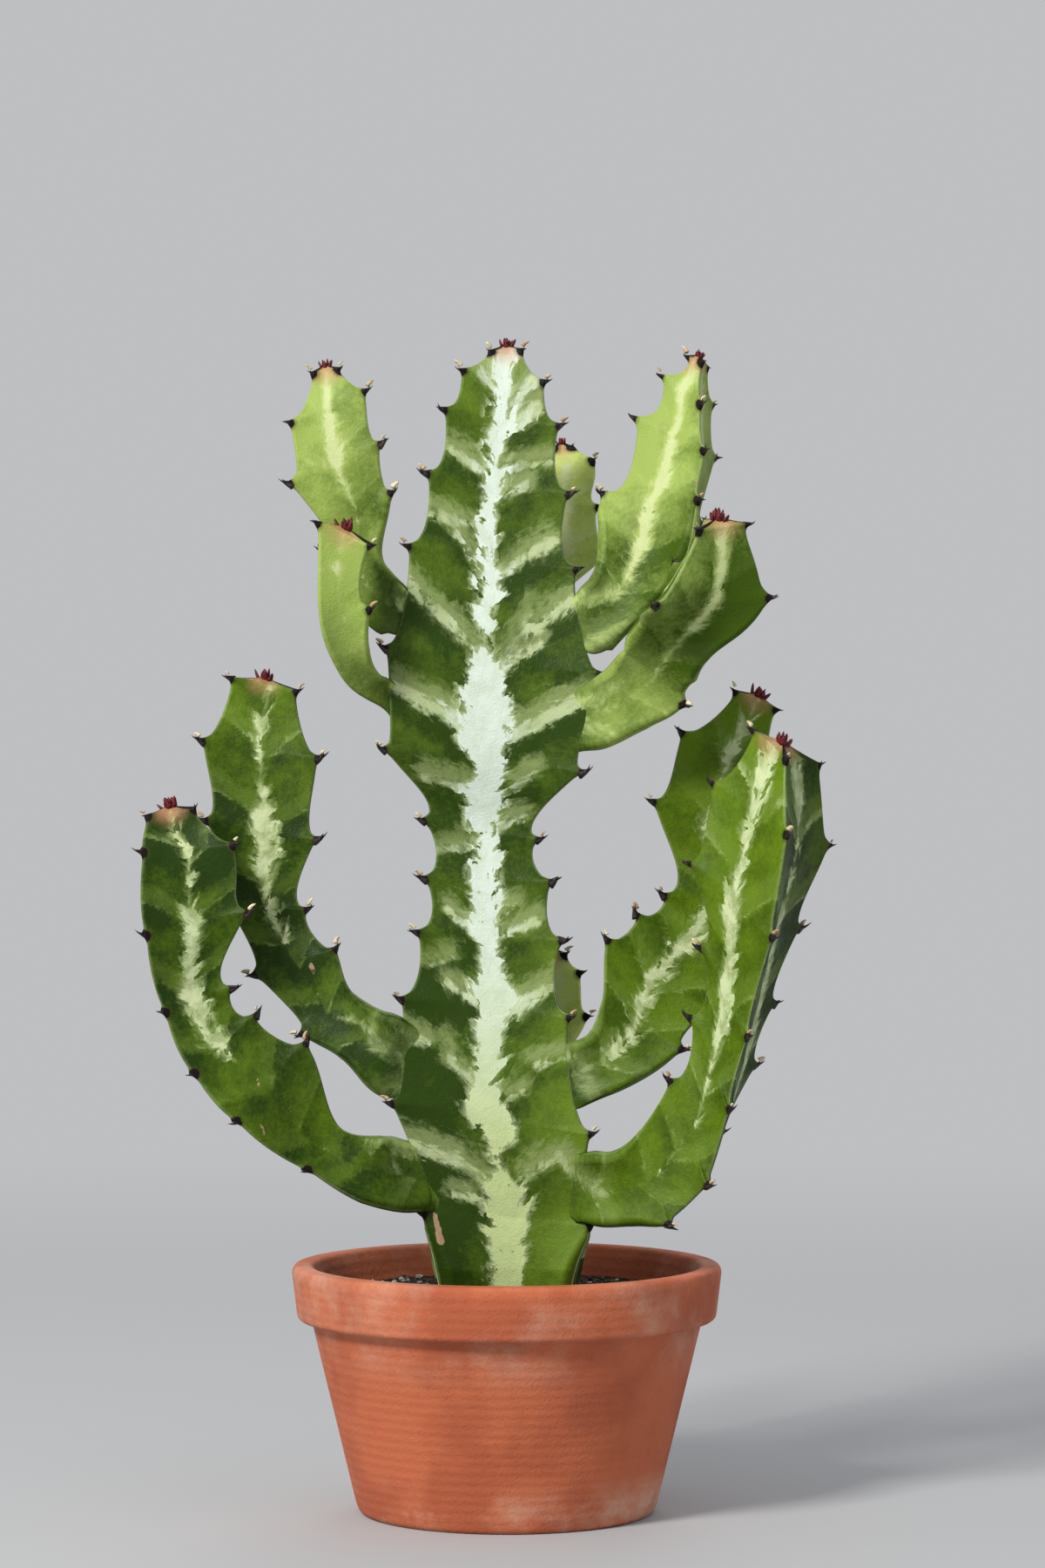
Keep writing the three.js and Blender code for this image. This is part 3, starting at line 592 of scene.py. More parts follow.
    skin = np.concatenate(skin, 1)
    pattern = np.zeros((*skin.shape[:2], 2))
    for rib in range(3):
        has = np.flatnonzero(at["teeth"][:, rib])
        place = at["along"][has] + at["skew"][has, rib]
        place = place + np.append(np.diff(place), 8.0) * STREAK_SHARE
        hollows = np.concatenate([place[0] - [60, 40, 20], place, [place[-1] + 14]])
        near = skin[0, :, 4] == rib
        run = skin[:, near, 1]
        next_up = np.searchsorted(hollows, run, "right").clip(1, len(hollows) - 1)
        below = hollows[next_up - 1]
        pattern[:, near] = np.stack([run - below, hollows[next_up] - below], -1)

    rows_of_teeth = np.concatenate([[0], np.cumsum(counts)])
    teeth = [(rows_of_teeth[n], rib) for n, rib in zip(*np.nonzero(at["teeth"]))]
    return {
        "ring": np.concatenate(ring, 1), "skin": skin, "pattern": pattern, "row_along": row_along,
        "centre": centre, "growing": growing, "level_place": level + share, "tips": tips,
        "teeth": teeth, "reach": reach,
    }


# For the streak itself, its haze and its shade: how far each is lifted, and how much wider it is
STREAK_COPIES = [(0.0, 0.0), (3.0, 3.0), (-5.5, 4.0)]
SIDE_SHIFT_SHARE = 0.3
SIDE_BAND_SHARE = 0.85
NO_STREAK = -9.0
JOINT_SHADE_END = 25
MAIN_FROM_ROOT = 99
# Old scars, corky brown, laid out as the streaks are
SCARS = [
    (-24.8, 102, -22.8, 92.5, 0.6, 1.3, 1), (-67.5, 187.5, -66.3, 185, 0.9, 0.5, 1),
    (-86.2, 149.8, -85.4, 145.2, 0.25, 0.2, 1), (-84.6, 132.6, -83.2, 128.4, 0.3, 0.2, 1),
]


def streak_fields(points, streaks):
    """Fields of streaks that are laid out on the front elevation. A streak is a tapered bar between
    two points x, z with a half width at each. Its field is the half width less the distance from the
    bar. The haze is the same for a wider bar a little above it, and the shade for one below it."""
    flat = EYE + (points - EYE) * (-EYE[1] / (points[..., 1:2] - EYE[1]))
    over, haze, shade = (np.full(points.shape[:2], NO_STREAK) for _ in range(3))
    strength = np.zeros(points.shape[:2])
    for x_in, z_in, x_out, z_out, half_in, half_out, strong in streaks:
        run = np.array([x_out - x_in, z_out - z_in])
        fields = []
        for lift, widen in STREAK_COPIES:
            gap = flat[..., [0, 2]] - np.array([x_in, z_in + lift])
            t = ((gap @ run) / (run @ run)).clip(0, 1)
            far = np.linalg.norm(gap - t[..., None] * run, axis=-1)
            fields.append(half_in + (half_out - half_in) * t + widen - far)
        strength = np.where(fields[0] > over, strong, strength)
        over, haze, shade = (np.maximum(old, new) for old, new in zip((over, haze, shade), fields))
    return over, haze, strength, shade


def end_rings(surface, end, shrink, lift):
    """Rings that close a stem: its end ring drawn in to the centre by shares and lifted along it."""
    ring, centre, growing = (surface[label][end] for label in ("ring", "centre", "growing"))
    flat = square_to(ring - centre, growing)
    along = (ring - centre) @ growing
    return centre + flat * shrink + growing * (lift + along[:, None] * shrink)


# The stems' surfaces by name, for the horns and leaves that grow on them
surfaces = {}


def stem_piece(name, surface, skin_and_slot, band, streaks, youth_and_shade, front_streaks,
               whole_front=False, side_shade=0):
    """The stem's piece. Its two ends are closed by rings that shrink as a cosine. At the root they
    sink as a sine, deep into the stem that bears it. At the tip they rise to a small mound, as the
    power 1.5 of the loss. Writes the skin's attributes: band gives (row, shift, half width) from
    root to tip, and the streaks and the youth-and-shade table give (row, strength). The tone is lighter
    where the tissue is new, and lower where a stem carries painted shade. By rule a streak lies above
    each hollow of the margin, with a haze above it. The front's own streaks take the place of the rule
    there, or are added to it. The other two faces are lighter by the side value, which paints shade on
    them where it is negative. Near each tooth the horn attribute is the distance from its tip, more
    above it than below."""
    ring, centre, growing = surface["ring"], surface["centre"], surface["growing"]
    skin, pattern = surface["skin"], surface["pattern"]
    place = surface["level_place"]
    rows, size = ring.shape[:2]
    material, surface["slot"] = skin_and_slot
    surfaces[name] = surface
    row, shift, half = np.array(band, float).T
    front = skin[..., 2] == 0
    shift_here = np.interp(place, row, shift)[:, None] * np.where(front, 1, SIDE_SHIFT_SHARE)
    half_here = np.interp(place, row, half)[:, None] * np.where(front, 1, SIDE_BAND_SHARE)
    strength = np.interp(place, *np.array(streaks, float).T)[:, None] + 0 * half_here
    width = STREAK_WIDTH * strength
    over = np.minimum(width / 2 - np.abs(pattern[..., 0] - width / 2), pattern[..., 0] + 0.2)
    haze = np.minimum(width + HAZE_SHARE * pattern[..., 1] - pattern[..., 0], pattern[..., 0] + 1)
    shade = SHADE_LENGTH - (pattern[..., 1] - pattern[..., 0])
    here = streak_fields(ring, front_streaks)
    if whole_front:
        rule = (over, haze, strength, shade)
        over, haze, strength, shade = (np.where(front, *pair) for pair in zip(here, rule))
    else:
        strength = np.where(front & (here[1] > haze), here[2], strength)
        over, haze = (np.where(front, np.maximum(*pair), pair[1]) for pair in zip(here, (over, haze)))
        by_joint = front & (surface["row_along"][:, None] < JOINT_SHADE_END)
        shade = np.where(by_joint, here[3], shade)
    # Tone: lighter for new tissue, lower where shade is painted, on rows and on the other two faces
    youth_and_shade_tone = np.interp(place, *np.array(youth_and_shade, float).T)[:, None] + np.where(front, 0.0, side_shade)
    if whole_front:
        low_down = (1 - place / MAIN_SLANT[1]).clip(0, 1)[:, None] ** 0.5
        youth_and_shade_tone = youth_and_shade_tone + MAIN_SLANT[0] * skin[..., 0] * low_down * front
    horn = np.full((rows, size), 99.0)
    for tooth_row, rib in surface["teeth"]:
        tip, out, side = (values[tooth_row] for values in surface["tips"][rib])
        gap = ring - (tip + out * 0.5 - growing[tooth_row] * 0.3)
        up = gap @ growing[tooth_row]
        horn = np.minimum(horn, np.linalg.norm(gap, axis=-1) + 0.5 * up.clip(0, 9))

    c = np.linspace(0, np.pi / 2, END_RINGS + 1)[1:-1]
    shrink = np.cos(c)[:, None, None]
    low = end_rings(surface, 0, shrink, -np.sin(c)[:, None, None] * ROOT_DEPTH)[::-1]
    high = end_rings(surface, -1, shrink, (1 - shrink) ** 1.5 * TIP_RISE)
    points = np.concatenate([low, ring, high]).reshape(-1, 3)
    ends = [centre[0] - growing[0] * (ROOT_DEPTH + 0.1), centre[-1] + growing[-1] * (TIP_RISE + 0.1)]
    points = np.concatenate([points, ends])
    total = rows + 2 * (END_RINGS - 1)
    piece = new_piece(name + "_flesh", points, tube_faces(total, size), material, surface["slot"])
    scar = streak_fields(ring, SCARS)[0]
    from_root = surface["row_along"][:, None] + MAIN_FROM_ROOT * whole_front
    values = {
        "skin": (skin[..., 0] - shift_here, skin[..., 1], skin[..., 2]),
        "band": (half_here, skin[..., 3], horn),
        "streak": (over, haze, strength),
        "growth_and_shade": (youth_and_shade_tone, 0, shade),
        "joint": (np.where(front, scar, NO_STREAK), from_root, 0),
    }
    for label, value in values.items():
        value = np.stack(np.broadcast_arrays(*value), -1).astype(float)
        value = np.pad(value, ((END_RINGS - 1, END_RINGS - 1), (0, 0), (0, 0)), mode="edge")
        value = value.reshape(total * size, 3)
        value = np.concatenate([value, value[:1], value[-1:]])
        # The growing tip is at the very end, so the distance from it is taken on the closed surface
        if label == "growth_and_shade":
            value[:, 1] = np.linalg.norm(points - ends[1], axis=1)
        attribute = piece.data.attributes.new(label, "FLOAT_VECTOR", "POINT")
        attribute.data.foreach_set("vector", value.ravel())
    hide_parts(name)


FACE_OFFSET = 17.3
# Distances in millimetres: from the horn's tip, over which its own colour and the dark round it end;
# from the margin, the pale rim that is a painted highlight; from the growing tip, the blush and the
# band's whiter colour; and from the root, the bearer's colours
HORN_REACH = (2.8, 3.2)
HORN_DARK_REACH = (3.0, 4.4)
RIM_HIGHLIGHT_REACH = (0.4, 1.4)
BLUSH_REACH = (4.5, 13.0)
WHITE_REACH = (190.0, 290.0)
BEARER_REACH = (8.0, 30.0)
HORN_DARK = (64, 62, 24)
mottle, mottle_in, mottle_out = new_group(
    "mottled_skin",
    {
        "Band": rgb((204, 217, 206)), "Old Band": rgb((184, 200, 140)), "Streak": rgb((172, 186, 140)),
        "Haze": rgb((136, 150, 98)), "Dark": rgb((38, 60, 5)), "Light": rgb((92, 118, 28)),
        "Bearer Dark": rgb((38, 60, 5)), "Bearer Light": rgb((92, 118, 28)),
        "Bearer Haze": rgb((136, 150, 98)), "Scar": rgb((168, 140, 112)), "Rim Highlight": rgb((150, 168, 110)),
        "Blush": rgb((176, 128, 96)), "Horn": rgb((20, 13, 12)),
        "Jagged": 1.0, "Soft": 0.45, "Chevrons": 1.0, "Slant": 0.0, "Broken": 0.25,
    },
    {"Color": "Color", "Roughness": "Float", "Height": "Float"},
)
given = mottle_in.outputs


def read_skin(label):
    """The three values of an attribute of the skin."""
    stored = node(mottle, "Attribute", attribute_name=label).outputs["Vector"]
    return node(mottle, "SeparateXYZ", {0: stored}).outputs


skin_at = node(mottle, "Attribute", attribute_name="skin").outputs["Vector"]
object_at = node(mottle, "TexCoord").outputs["Object"]
across_here = read_skin("skin")["X"]
across = arithmetic("ABSOLUTE", across_here)
band_half, inward, horn_at = (read_skin("band")[n] for n in range(3))
streak_over, haze_over, streak_strength = (read_skin("streak")[n] for n in range(3))
youth_and_shade_tone, to_tip, shade_over = (read_skin("growth_and_shade")[n] for n in range(3))
scar_over, from_root = (read_skin("joint")[n] for n in range(2))


def stretched(place, x_scale, y_scale):
    """Places on the skin, stretched to lie along the streaks. Each face has places of its own."""
    scales = (x_scale, y_scale, FACE_OFFSET)
    return node(mottle, "VectorMath", {0: place, 1: scales}, operation="MULTIPLY").outputs[0]


def skin_noise(x_scale, y_scale, detail, roughness=0.5):
    """Noise on the skin, less a half."""
    mottling = noise(stretched(skin_at, x_scale, y_scale), 1.0, detail, roughness)
    return arithmetic("SUBTRACT", mottling, 0.5)


def patches(x_scale, y_scale):
    """A random value less a half for each small patch of tissue, longer along the streaks."""
    wobble = node(mottle, "TexNoise", {"Vector": skin_at, "Scale": 0.6, "Detail": 2.0}).outputs["Color"]
    shifts = {0: wobble, 1: (2.2, 2.2, 0.0), 2: skin_at}
    bent = node(mottle, "VectorMath", shifts, operation="MULTIPLY_ADD").outputs[0]
    inputs = {"Vector": stretched(bent, x_scale, y_scale), "Scale": 1.0}
    random_color = node(mottle, "TexVoronoi", inputs).outputs["Color"]
    return arithmetic("SUBTRACT", node(mottle, "SeparateXYZ", {0: random_color}).outputs["X"], 0.5)


coarse_patches = patches(0.15, 0.21)
fine_patches = patches(0.42, 0.6)
slow = skin_noise(0.09, 0.13, 2.0)
quick = skin_noise(0.8, 1.0, 3.0, 0.6)
soft = given["Soft"]

# The band: its half width, torn in coarse and in fine patches of tissue, with a thinner halo
tears = step(skin_noise(0.2, 0.24, 3.0, 0.6), 0.13, 0.2)
torn = plus(0.0, (coarse_patches, 4.2), (fine_patches, 2.0), (slow, 4.0), (quick, 1.0), (tears, -4.5))
over_edge = arithmetic("SUBTRACT", plus(band_half, (torn, given["Jagged"])), across)
band_mask = step(over_edge, times(soft, -1.0), soft)
worn = step(skin_noise(0.16, 0.16, 4.0, 0.6), -0.12, 0.16, 0.0, -1.0)
band_mask = plus(band_mask, (band_mask, times(worn, given["Broken"])))
halo_mask = step(plus(over_edge, (skin_noise(0.5, 0.6, 3.0, 0.7), 4.0)), -3.0, 0.8, 0.0, 0.8)
near_band = step(over_edge, -9.0, -1.0, 0.0, 0.6)

# The streaks, pale by the band and broken up towards the margin, crisp below and lost in a haze of
# mottling above
streak_far = plus(streak_over, (fine_patches, 1.6), (coarse_patches, 1.6), (quick, 1.2))
streak_mask = step(streak_far, times(soft, -1.4), times(soft, 2.6))
thin = plus(streak_strength, (skin_noise(0.22, 0.28, 3.0, 0.6), 1.4))
streak_mask = times(streak_mask, step(thin, 0.0, 0.95))
haze_far = plus(haze_over, (skin_noise(0.35, 0.45, 5.0, 0.7), 11.0), (coarse_patches, 2.4))
haze_mask = times(step(haze_far, -1.5, 4.5), step(streak_strength, 0.0, 0.6, 0.2, 1.0))
haze_mask = times(haze_mask, given["Chevrons"])
shade_far = plus(shade_over, (skin_noise(0.25, 0.32, 4.0, 0.6), 9.0))
shade_mask = times(step(shade_far, -1.0, 6.0), given["Chevrons"])

# The greens between: darkest under each streak, lighter in clouds, in specks and towards the tip.
# The tone also carries painted shade, and the Slant paints one side of each face lighter than the
# other as painted light. Near its root a branch has the colours of the stem that bears it
clouds = step(noise(object_at, 60.0, 4.0, 0.6), 0.36, 0.68)
specks = step(noise(object_at, 620.0, 3.0, 0.7), 0.35, 0.7)
tone = plus(youth_and_shade_tone, (clouds, 0.42), (across_here, given["Slant"]), (haze_mask, 0.4), (shade_mask, -0.35))
tone = plus(tone, (specks, 0.2), clamp=True)
own_share = step(from_root, *BEARER_REACH)
dark, light, haze_tint = (
    mix(own_share, given["Bearer " + label], given[label]) for label in ("Dark", "Light", "Haze"))
green = mix(times(haze_mask, 0.7), mix(tone, dark, light), haze_tint)
band_tint = mix(step(to_tip, *WHITE_REACH), given["Band"], given["Old Band"])
skin_tint = mix(streak_mask, green, mix(near_band, given["Streak"], band_tint))
skin_tint = mix(halo_mask, skin_tint, given["Streak"])
skin_tint = mix(band_mask, skin_tint, band_tint)

# The margin's thin pale rim, a painted highlight, the blush under the growing tip, and the horny tip
# of each tooth
# The pale rim is a painted highlight along every margin, for the bright line that light gives thin edges
rim_highlight_mask = step(plus(inward, (noise(object_at, 500.0, 2.0), 0.8)), *RIM_HIGHLIGHT_REACH, 0.3, 0.0)
skin_tint = mix(rim_highlight_mask, skin_tint, given["Rim Highlight"])
blush_mask = step(plus(to_tip, (noise(object_at, 260.0, 3.0), 4.0)), *BLUSH_REACH, 0.8, 0.0)
skin_tint = mix(blush_mask, skin_tint, given["Blush"])
scar_mask = step(plus(scar_over, (noise(object_at, 500.0, 3.0), 1.2)), 0.4, 0.8, 0.0, 0.9)
skin_tint = mix(scar_mask, skin_tint, given["Scar"])
horn_far = plus(horn_at, (noise(object_at, 700.0, 2.0), 1.0))
horn_mask = step(horn_far, *HORN_REACH, 1.0, 0.0)
skin_tint = mix(step(horn_far, *HORN_DARK_REACH, 0.5, 0.0), skin_tint, rgb(HORN_DARK))
skin_tint = mix(horn_mask, skin_tint, given["Horn"])
gloss = step(noise(object_at, 260.0, 3.0), 0.3, 0.7, 0.42, 0.56)
relief = plus(noise(object_at, 1500.0, 2.0, 0.5), (noise(object_at, 240.0, 3.0, 0.55), 1.6))
mottle.links.new(skin_tint, mottle_out.inputs["Color"])
mottle.links.new(plus(gloss, (horn_mask, 0.12)), mottle_out.inputs["Roughness"])
mottle.links.new(relief, mottle_out.inputs["Height"])


def skin_material(name, slot, **values):
    """A stem's skin, waxy and slightly glossy: the mottled pattern with this stem's own colours.
    Returns the material and its slot."""
    material, tree, shader = new_material(name, Specular_IOR_Level=0.14)
    inputs = {
        label.replace("_", " "): rgb(value) if isinstance(value, tuple) else value
        for label, value in values.items()
    }
    pattern = node(tree, "Group", inputs, node_tree=mottle).outputs
    finish_with(shader, pattern["Color"], pattern["Roughness"], pattern["Height"], 0.18)
    return material, slot


mature_skin = skin_material("mature_skin", "stem_mature")
main_neck = [(-12, 36, 12, 36, 0), (-18, 58, 18, 58, 0), (-22, 83, 22.5, 83, 0)]
main_rows = [
    (-29, 102.5, 29, 98.5, 0), (-40.5, 140.5, 29.5, 130, 0), (-37, 176.5, 22, 170, 0),
    (-31.5, 199.5, 19.5, 196.5, 0), (-29, 218, 16, 217, 0), (-29.5, 238, 11.5, 231.5, 0),
    (-43, 262.5, 26.5, 254.5, 0), (-42.5, 297.5, 32.5, 288.5, 0), (-34.5, 332.5, 24.5, 324.5, 0),
    (-28, 357.5, 22, 350.5, 0), (-22, 379.5, 18.5, 374, 0), (-15.5, 393, 13, 389, 0),
    (-5.5, 399.5, 5, 400, 0),
]
main_band = [
    (0, 0, 4), (3, -0.6, 5.5), (3.3, 0, 8.5), (3.5, 0, 0.8), (3.7, 0, 0.8), (3.85, 1.3, 5.5),
    (4, 0.4, 7.5), (4.3, -2, 3), (4.5, 0.5, 5.2), (4.8, 2, 4), (5.18, 4, 8), (5.4, 1.9, 5.4),
    (5.9, -0.4, 3), (6.5, -1.5, 4.8), (7.1, -1, 3.9), (7.85, 1.7, 4), (8.4, 0.6, 6), (8.9, 2.4, 5.2),
    (9.27, 0, 8.2), (9.6, -1.9, 7.6), (9.97, -3, 4.5), (10.15, -3, 1.2), (10.37, -2.8, 2.7),
    (10.65, -0.5, 4), (11, -0.9, 2.9), (11.5, -2.9, 3.3), (12, -1.6, 3), (12.7, -0.8, 3.8),
    (13.4, 0.1, 2.8), (14.2, 0, 3.4), (15, 0, 3.6),
]
main_streaks = [
    (0, 0.5), (3, 0.8), (5, 0.75), (6, 0.55), (8, 0.45), (9, 0.95), (10.4, 0.9), (11, 0.7), (13, 0.7),
    (15, 0.8),
]
main_youth = [
    (0, 0.2), (3, 0.1), (4, 0.05), (6, 0.1), (8, 0.0), (10, -0.05), (12, 0.1), (13, 0.3), (15, 0.6),
]
# How much lighter the front is with each millimetre to the right, low down, and the row where it ends
MAIN_SLANT = (0.036, 6.5)
# Each streak: x, z of its end by the band, x, z of its outer end, its half width at each, its strength
main_front_streaks = [
    (-8.5, 357.5, -19, 364.5, 1.5, 1.8, 0.7), (-12, 339, -26, 343, 1.2, 1.5, 0.6),
    (-9.5, 324.5, -16.5, 336, 0.9, 1.2, 0.75), (-10, 294.5, -18.5, 304, 1.5, 1.5, 0.85),
    (-18.5, 304, -34.5, 319, 1.5, 2.1, 0.9), (-11, 261.5, -18.5, 272.5, 1.8, 2.4, 0.9),
    (-18.5, 272.5, -38, 283.5, 2.7, 2.1, 0.8), (-11, 248.5, -29, 252, 1.8, 1.2, 0.5),
    (-13, 228.5, -24, 227, 1.8, 1.8, 0.35), (-10, 197, -20.5, 207, 1.5, 0.9, 0.85),
    (-19.5, 189.5, -27.5, 187, 1.2, 1.2, 0.4), (-10, 174.5, -20.5, 181.5, 1.5, 1.5, 0.75),
    (-27.5, 160.5, -37.5, 165.5, 1.2, 1.2, 0.8), (-19, 154.5, -21, 161.5, 1.2, 0.9, 0.5),
    (-11, 146.5, -18.5, 153.5, 1.5, 0.9, 0.6), (-17.5, 120, -42.5, 128.5, 3, 2.1, 0.75),
    (-11, 107.5, -18.5, 108.5, 1.2, 0.6, 0.7), (2.5, 372.5, 10.5, 379.5, 1.8, 2.7, 0.75),
    (-0.5, 359, 14.5, 360.5, 1.2, 1.2, 0.5), (-0.5, 348.5, 6.5, 352.5, 1.2, 1.5, 0.7),
    (-1.5, 321, 5.5, 327.5, 1.2, 1.8, 0.8), (5.5, 327.5, 15.5, 333, 1.8, 1.8, 0.8),
    (9, 303.5, 26, 315, 1.8, 2.1, 0.95), (-2, 289.5, 12, 297.5, 1.2, 1.2, 0.9),
    (-3, 287.5, 8, 310, 0.9, 0.9, 0.35), (1, 265, 13, 273, 2.1, 2.7, 0.8),
    (13, 273, 29.5, 280, 3, 2.4, 0.95), (2.5, 248.5, 9, 253.5, 1.2, 1.2, 0.5),
    (-2, 235.5, 5.5, 238.5, 1.2, 0.9, 0.6), (-2.5, 203, 2.5, 207.5, 0.9, 0.9, 0.75),
    (-3.5, 196.5, 10, 202.5, 0.9, 0.9, 0.85), (2, 170, 5.5, 175, 1.8, 2.1, 0.8),
    (5.5, 175, 17.5, 181.5, 2.4, 1.2, 0.8), (1, 141.5, 5.5, 144, 1.2, 0.9, 0.6),
    (9.5, 153, 24, 156.5, 1.2, 1.2, 0.7), (5.5, 114.5, 17.5, 121.5, 1.8, 1.8, 0.6),
    (17.5, 121.5, 32.5, 108, 1.8, 1.5, 0.6), (-4.5, 111, -19.5, 121.7, 1.5, 2.4, 0.5),
    (2, 381, 9, 389.5, 1.6, 2.2, 0.75), (-3, 385, -9.5, 392, 1.4, 1.8, 0.65),
]
main_surface = stem_surface(main_neck, main_rows, (4.5, 4.5, 4.5))
stem_piece("main_stem", main_surface, mature_skin, main_band, main_streaks, main_youth,
           main_front_streaks, whole_front=True)


# The ten branches: the same three-ribbed flesh, each grown out of the main stem by a narrow neck, up
# in a curve and then upright. The upper ones are young, lime green and hardly mottled, the lower ones
# darker with a torn pale band. Each is grown on as one piece from its neck.
# Slant paints each face of the young skin lighter on its left, darker on its right: painted light and
# shade
young_skin = skin_material(
    "young_skin", "stem_young", Band=(186, 198, 142), Old_Band=(180, 196, 120), Streak=(170, 188, 112),
    Haze=(142, 164, 84), Dark=(58, 82, 4), Light=(144, 166, 80),
    Jagged=0.5, Soft=0.9, Chevrons=0.35, Slant=-0.02, Broken=0.3)
green_skin = skin_material(
    "green_skin", "stem_green", Band=(190, 202, 156), Old_Band=(170, 186, 110), Streak=(136, 154, 92),
    Haze=(100, 122, 52), Dark=(30, 52, 2), Light=(92, 120, 14),
    Soft=0.8, Chevrons=0.45, Broken=0.75)
shaded_skin = skin_material(
    "shaded_skin", "stem_shaded", Band=(206, 214, 160), Old_Band=(190, 200, 140), Streak=(196, 212, 146),
    Haze=(192, 208, 124), Dark=(138, 160, 48), Light=(200, 216, 122), Soft=0.9, Chevrons=0.5)
ROOT_BLEND = 17.0
ROOT_FLARE = 0.5
ROOT_SUNK = 0.4
ROOT_HOLD = 1.35


def flared_root(surface, bearer):
    """Spreads a branch's root over the stem that bears it, as flesh grows round a joint. Below
    ROOT_BLEND along the branch a section grows wider as the square of the share left, and its points
    outside the bearer are drawn down to just under its skin by a smooth step of that share times
    ROOT_HOLD, so the first of them are drawn down all the way."""
    rows = np.flatnonzero(surface["row_along"] < ROOT_BLEND)
    left = 1 - surface["row_along"][rows] / ROOT_BLEND
    centre = surface["centre"][rows][:, None]
    spread = centre + (surface["ring"][rows] - centre) * (1 + ROOT_FLARE * left ** 2)[:, None, None]
    pull = (ROOT_HOLD * left).clip(0, 1)
    pull = pull ** 2 * (3 - 2 * pull)
    nearest = [bearer.find_nearest(point)[:2] for point in (spread * 0.001).reshape(-1, 3).tolist()]
    nearest = np.array(nearest).reshape(*spread.shape[:2], 2, 3)
    place, normal = nearest[:, :, 0] * 1000, nearest[:, :, 1]
    outside = np.sum((spread - place) * normal, -1, keepdims=True) > -ROOT_SUNK
    drop = place - normal * ROOT_SUNK - spread
    surface["ring"][rows] = spread + drop * pull[:, None, None] * outside
    surface["skin"][rows, :, 3] += 4 * pull[:, None]


# Streaks that run on from the main stem over the branches' necks
joint_streaks = [
    (-46, 161, -33, 153, 2.6, 3, 0.3), (-58, 170, -46, 166, 1.2, 2, 0.55),
    (-46, 126, -19.5, 121.7, 3, 3, 0.6), (26, 152, 30, 141, 3, 3, 0.4),
    (24, 312, 40, 318, 3, 2.5, 0.55), (27, 296, 44, 306, 3.5, 3, 0.4),
    (-37, 312, -28, 303, 1.5, 2, 0.7), (24, 271, 36, 268, 3, 2, 0.45),
    (29, 279, 40, 285, 3, 1.5, 0.5),
]
main_flesh = bpy.data.objects["main_stem_flesh"].data
main_points = [vertex.co for vertex in main_flesh.vertices]
main_skin = BVHTree.FromPolygons(main_points, [tuple(face.vertices) for face in main_flesh.polygons])


def grow_branch(name, skin_and_slot, waves, neck, rows, band, streaks, youth_and_shade, side_shade=0):
    """A branch's surface with its root spread over the main stem, and its piece. On its front it
    goes on with the main stem's streaks."""
    surface = stem_surface(neck, rows, waves)
    flared_root(surface, main_skin)
    stem_piece(name, surface, skin_and_slot, band, streaks, youth_and_shade, main_front_streaks + joint_streaks,
               side_shade=side_shade)


grow_branch(
    "branch_upper_left_rear", young_skin, waves=(4, 3.5, 4),
    neck=[
        (-31.5, 302, -29, 307, -11), (-40, 304, -34.5, 314.5, -13), (-47, 306.5, -39, 319.5, -14),
        (-58, 319.5, -44.5, 328, -13),
    ],
    rows=[
        (-63.5, 331.5, -39.5, 351, -12), (-75.5, 354, -43, 368, -11), (-75, 375, -48.5, 386, -10),
        (-67, 392, -58, 393.5, -10),
    ],
    band=[(0, 0, -3), (4, 0, -2), (4.8, 0, 0.6), (5.2, 0, 2.4), (6, -0.5, 1.8), (7, 0, 1.2)],
    streaks=[(0, 0.1), (5, 0.25), (6, 0.35), (7, 0.4)],
    youth_and_shade=[(0, 0.05), (2, 0.1), (4, 0.2), (5, 0.55), (7, 0.75)])
grow_branch(
    "branch_upper_left_front", young_skin, waves=(0.5, 4, 3.5),
    neck=[
        (-33, 272.5, -31, 277, -12), (-39.5, 274, -36, 281.5, -15), (-44.5, 278, -40.5, 285, -19),
        (-53.5, 284, -44.5, 287, -25), (-59.8, 294.5, -48.5, 296, -32),
    ],
    rows=[
        (-63.5, 305, -47, 310.5, -37, 0, "RB"), (-65.5, 340.5, -46.5, 332.5, -39),
    ],
    band=[(0, 0, -3), (5.4, 0, -2), (5.6, -1, 1.6), (5.7, -1, -2), (6, 0, 0.6)],
    streaks=[(0, 0.0), (5, 0.2), (6, 0.35)],
    youth_and_shade=[(0, 0.0), (2, 0.1), (3, 0.3), (4, 0.6), (5, 0.9), (6, 1.1)])
grow_branch(
    "branch_upper_right_rear", young_skin, waves=(6, 2.5, 3.5),
    neck=[
        (18, 305, 20, 300, -9), (22.5, 310, 26, 298.5, -12), (27.5, 315.5, 33, 298, -14, -5),
        (32.5, 323.5, 42.5, 306, -12, -15), (34, 336, 58, 321, -9, -25),
    ],
    rows=[
        (33, 351.5, 66, 347.5, -7, -32, "LRB", 0, 1.15), (44, 377, 68, 365, -5, -35, "LRB", 0, 1.25),
        (53, 391, 67, 381.5, -5, -35, "LRB", 0, 1.38), (62, 397.5, 67.5, 396, -5, -35, "LRB", 0, 1.7),
    ],
    band=[
        (0, 0, -4), (2.8, 0, -2), (3.6, -1, 1.6), (4.4, -1, 2.0), (5.2, 0, 2.2), (6.5, 0, 1.9),
        (8, 0, 1.4),
    ],
    streaks=[(0, 0.4), (3, 0.35), (5, 0.25), (8, 0.3)],
    # Its tone dips between rows 2 and 4.3, low on the branch: painted shade
    youth_and_shade=[(0, 0.1), (2, 0.1), (2.8, -0.25), (3.6, -0.15), (4.3, 0.2), (5, 0.5), (6.5, 0.75), (8, 0.8)])
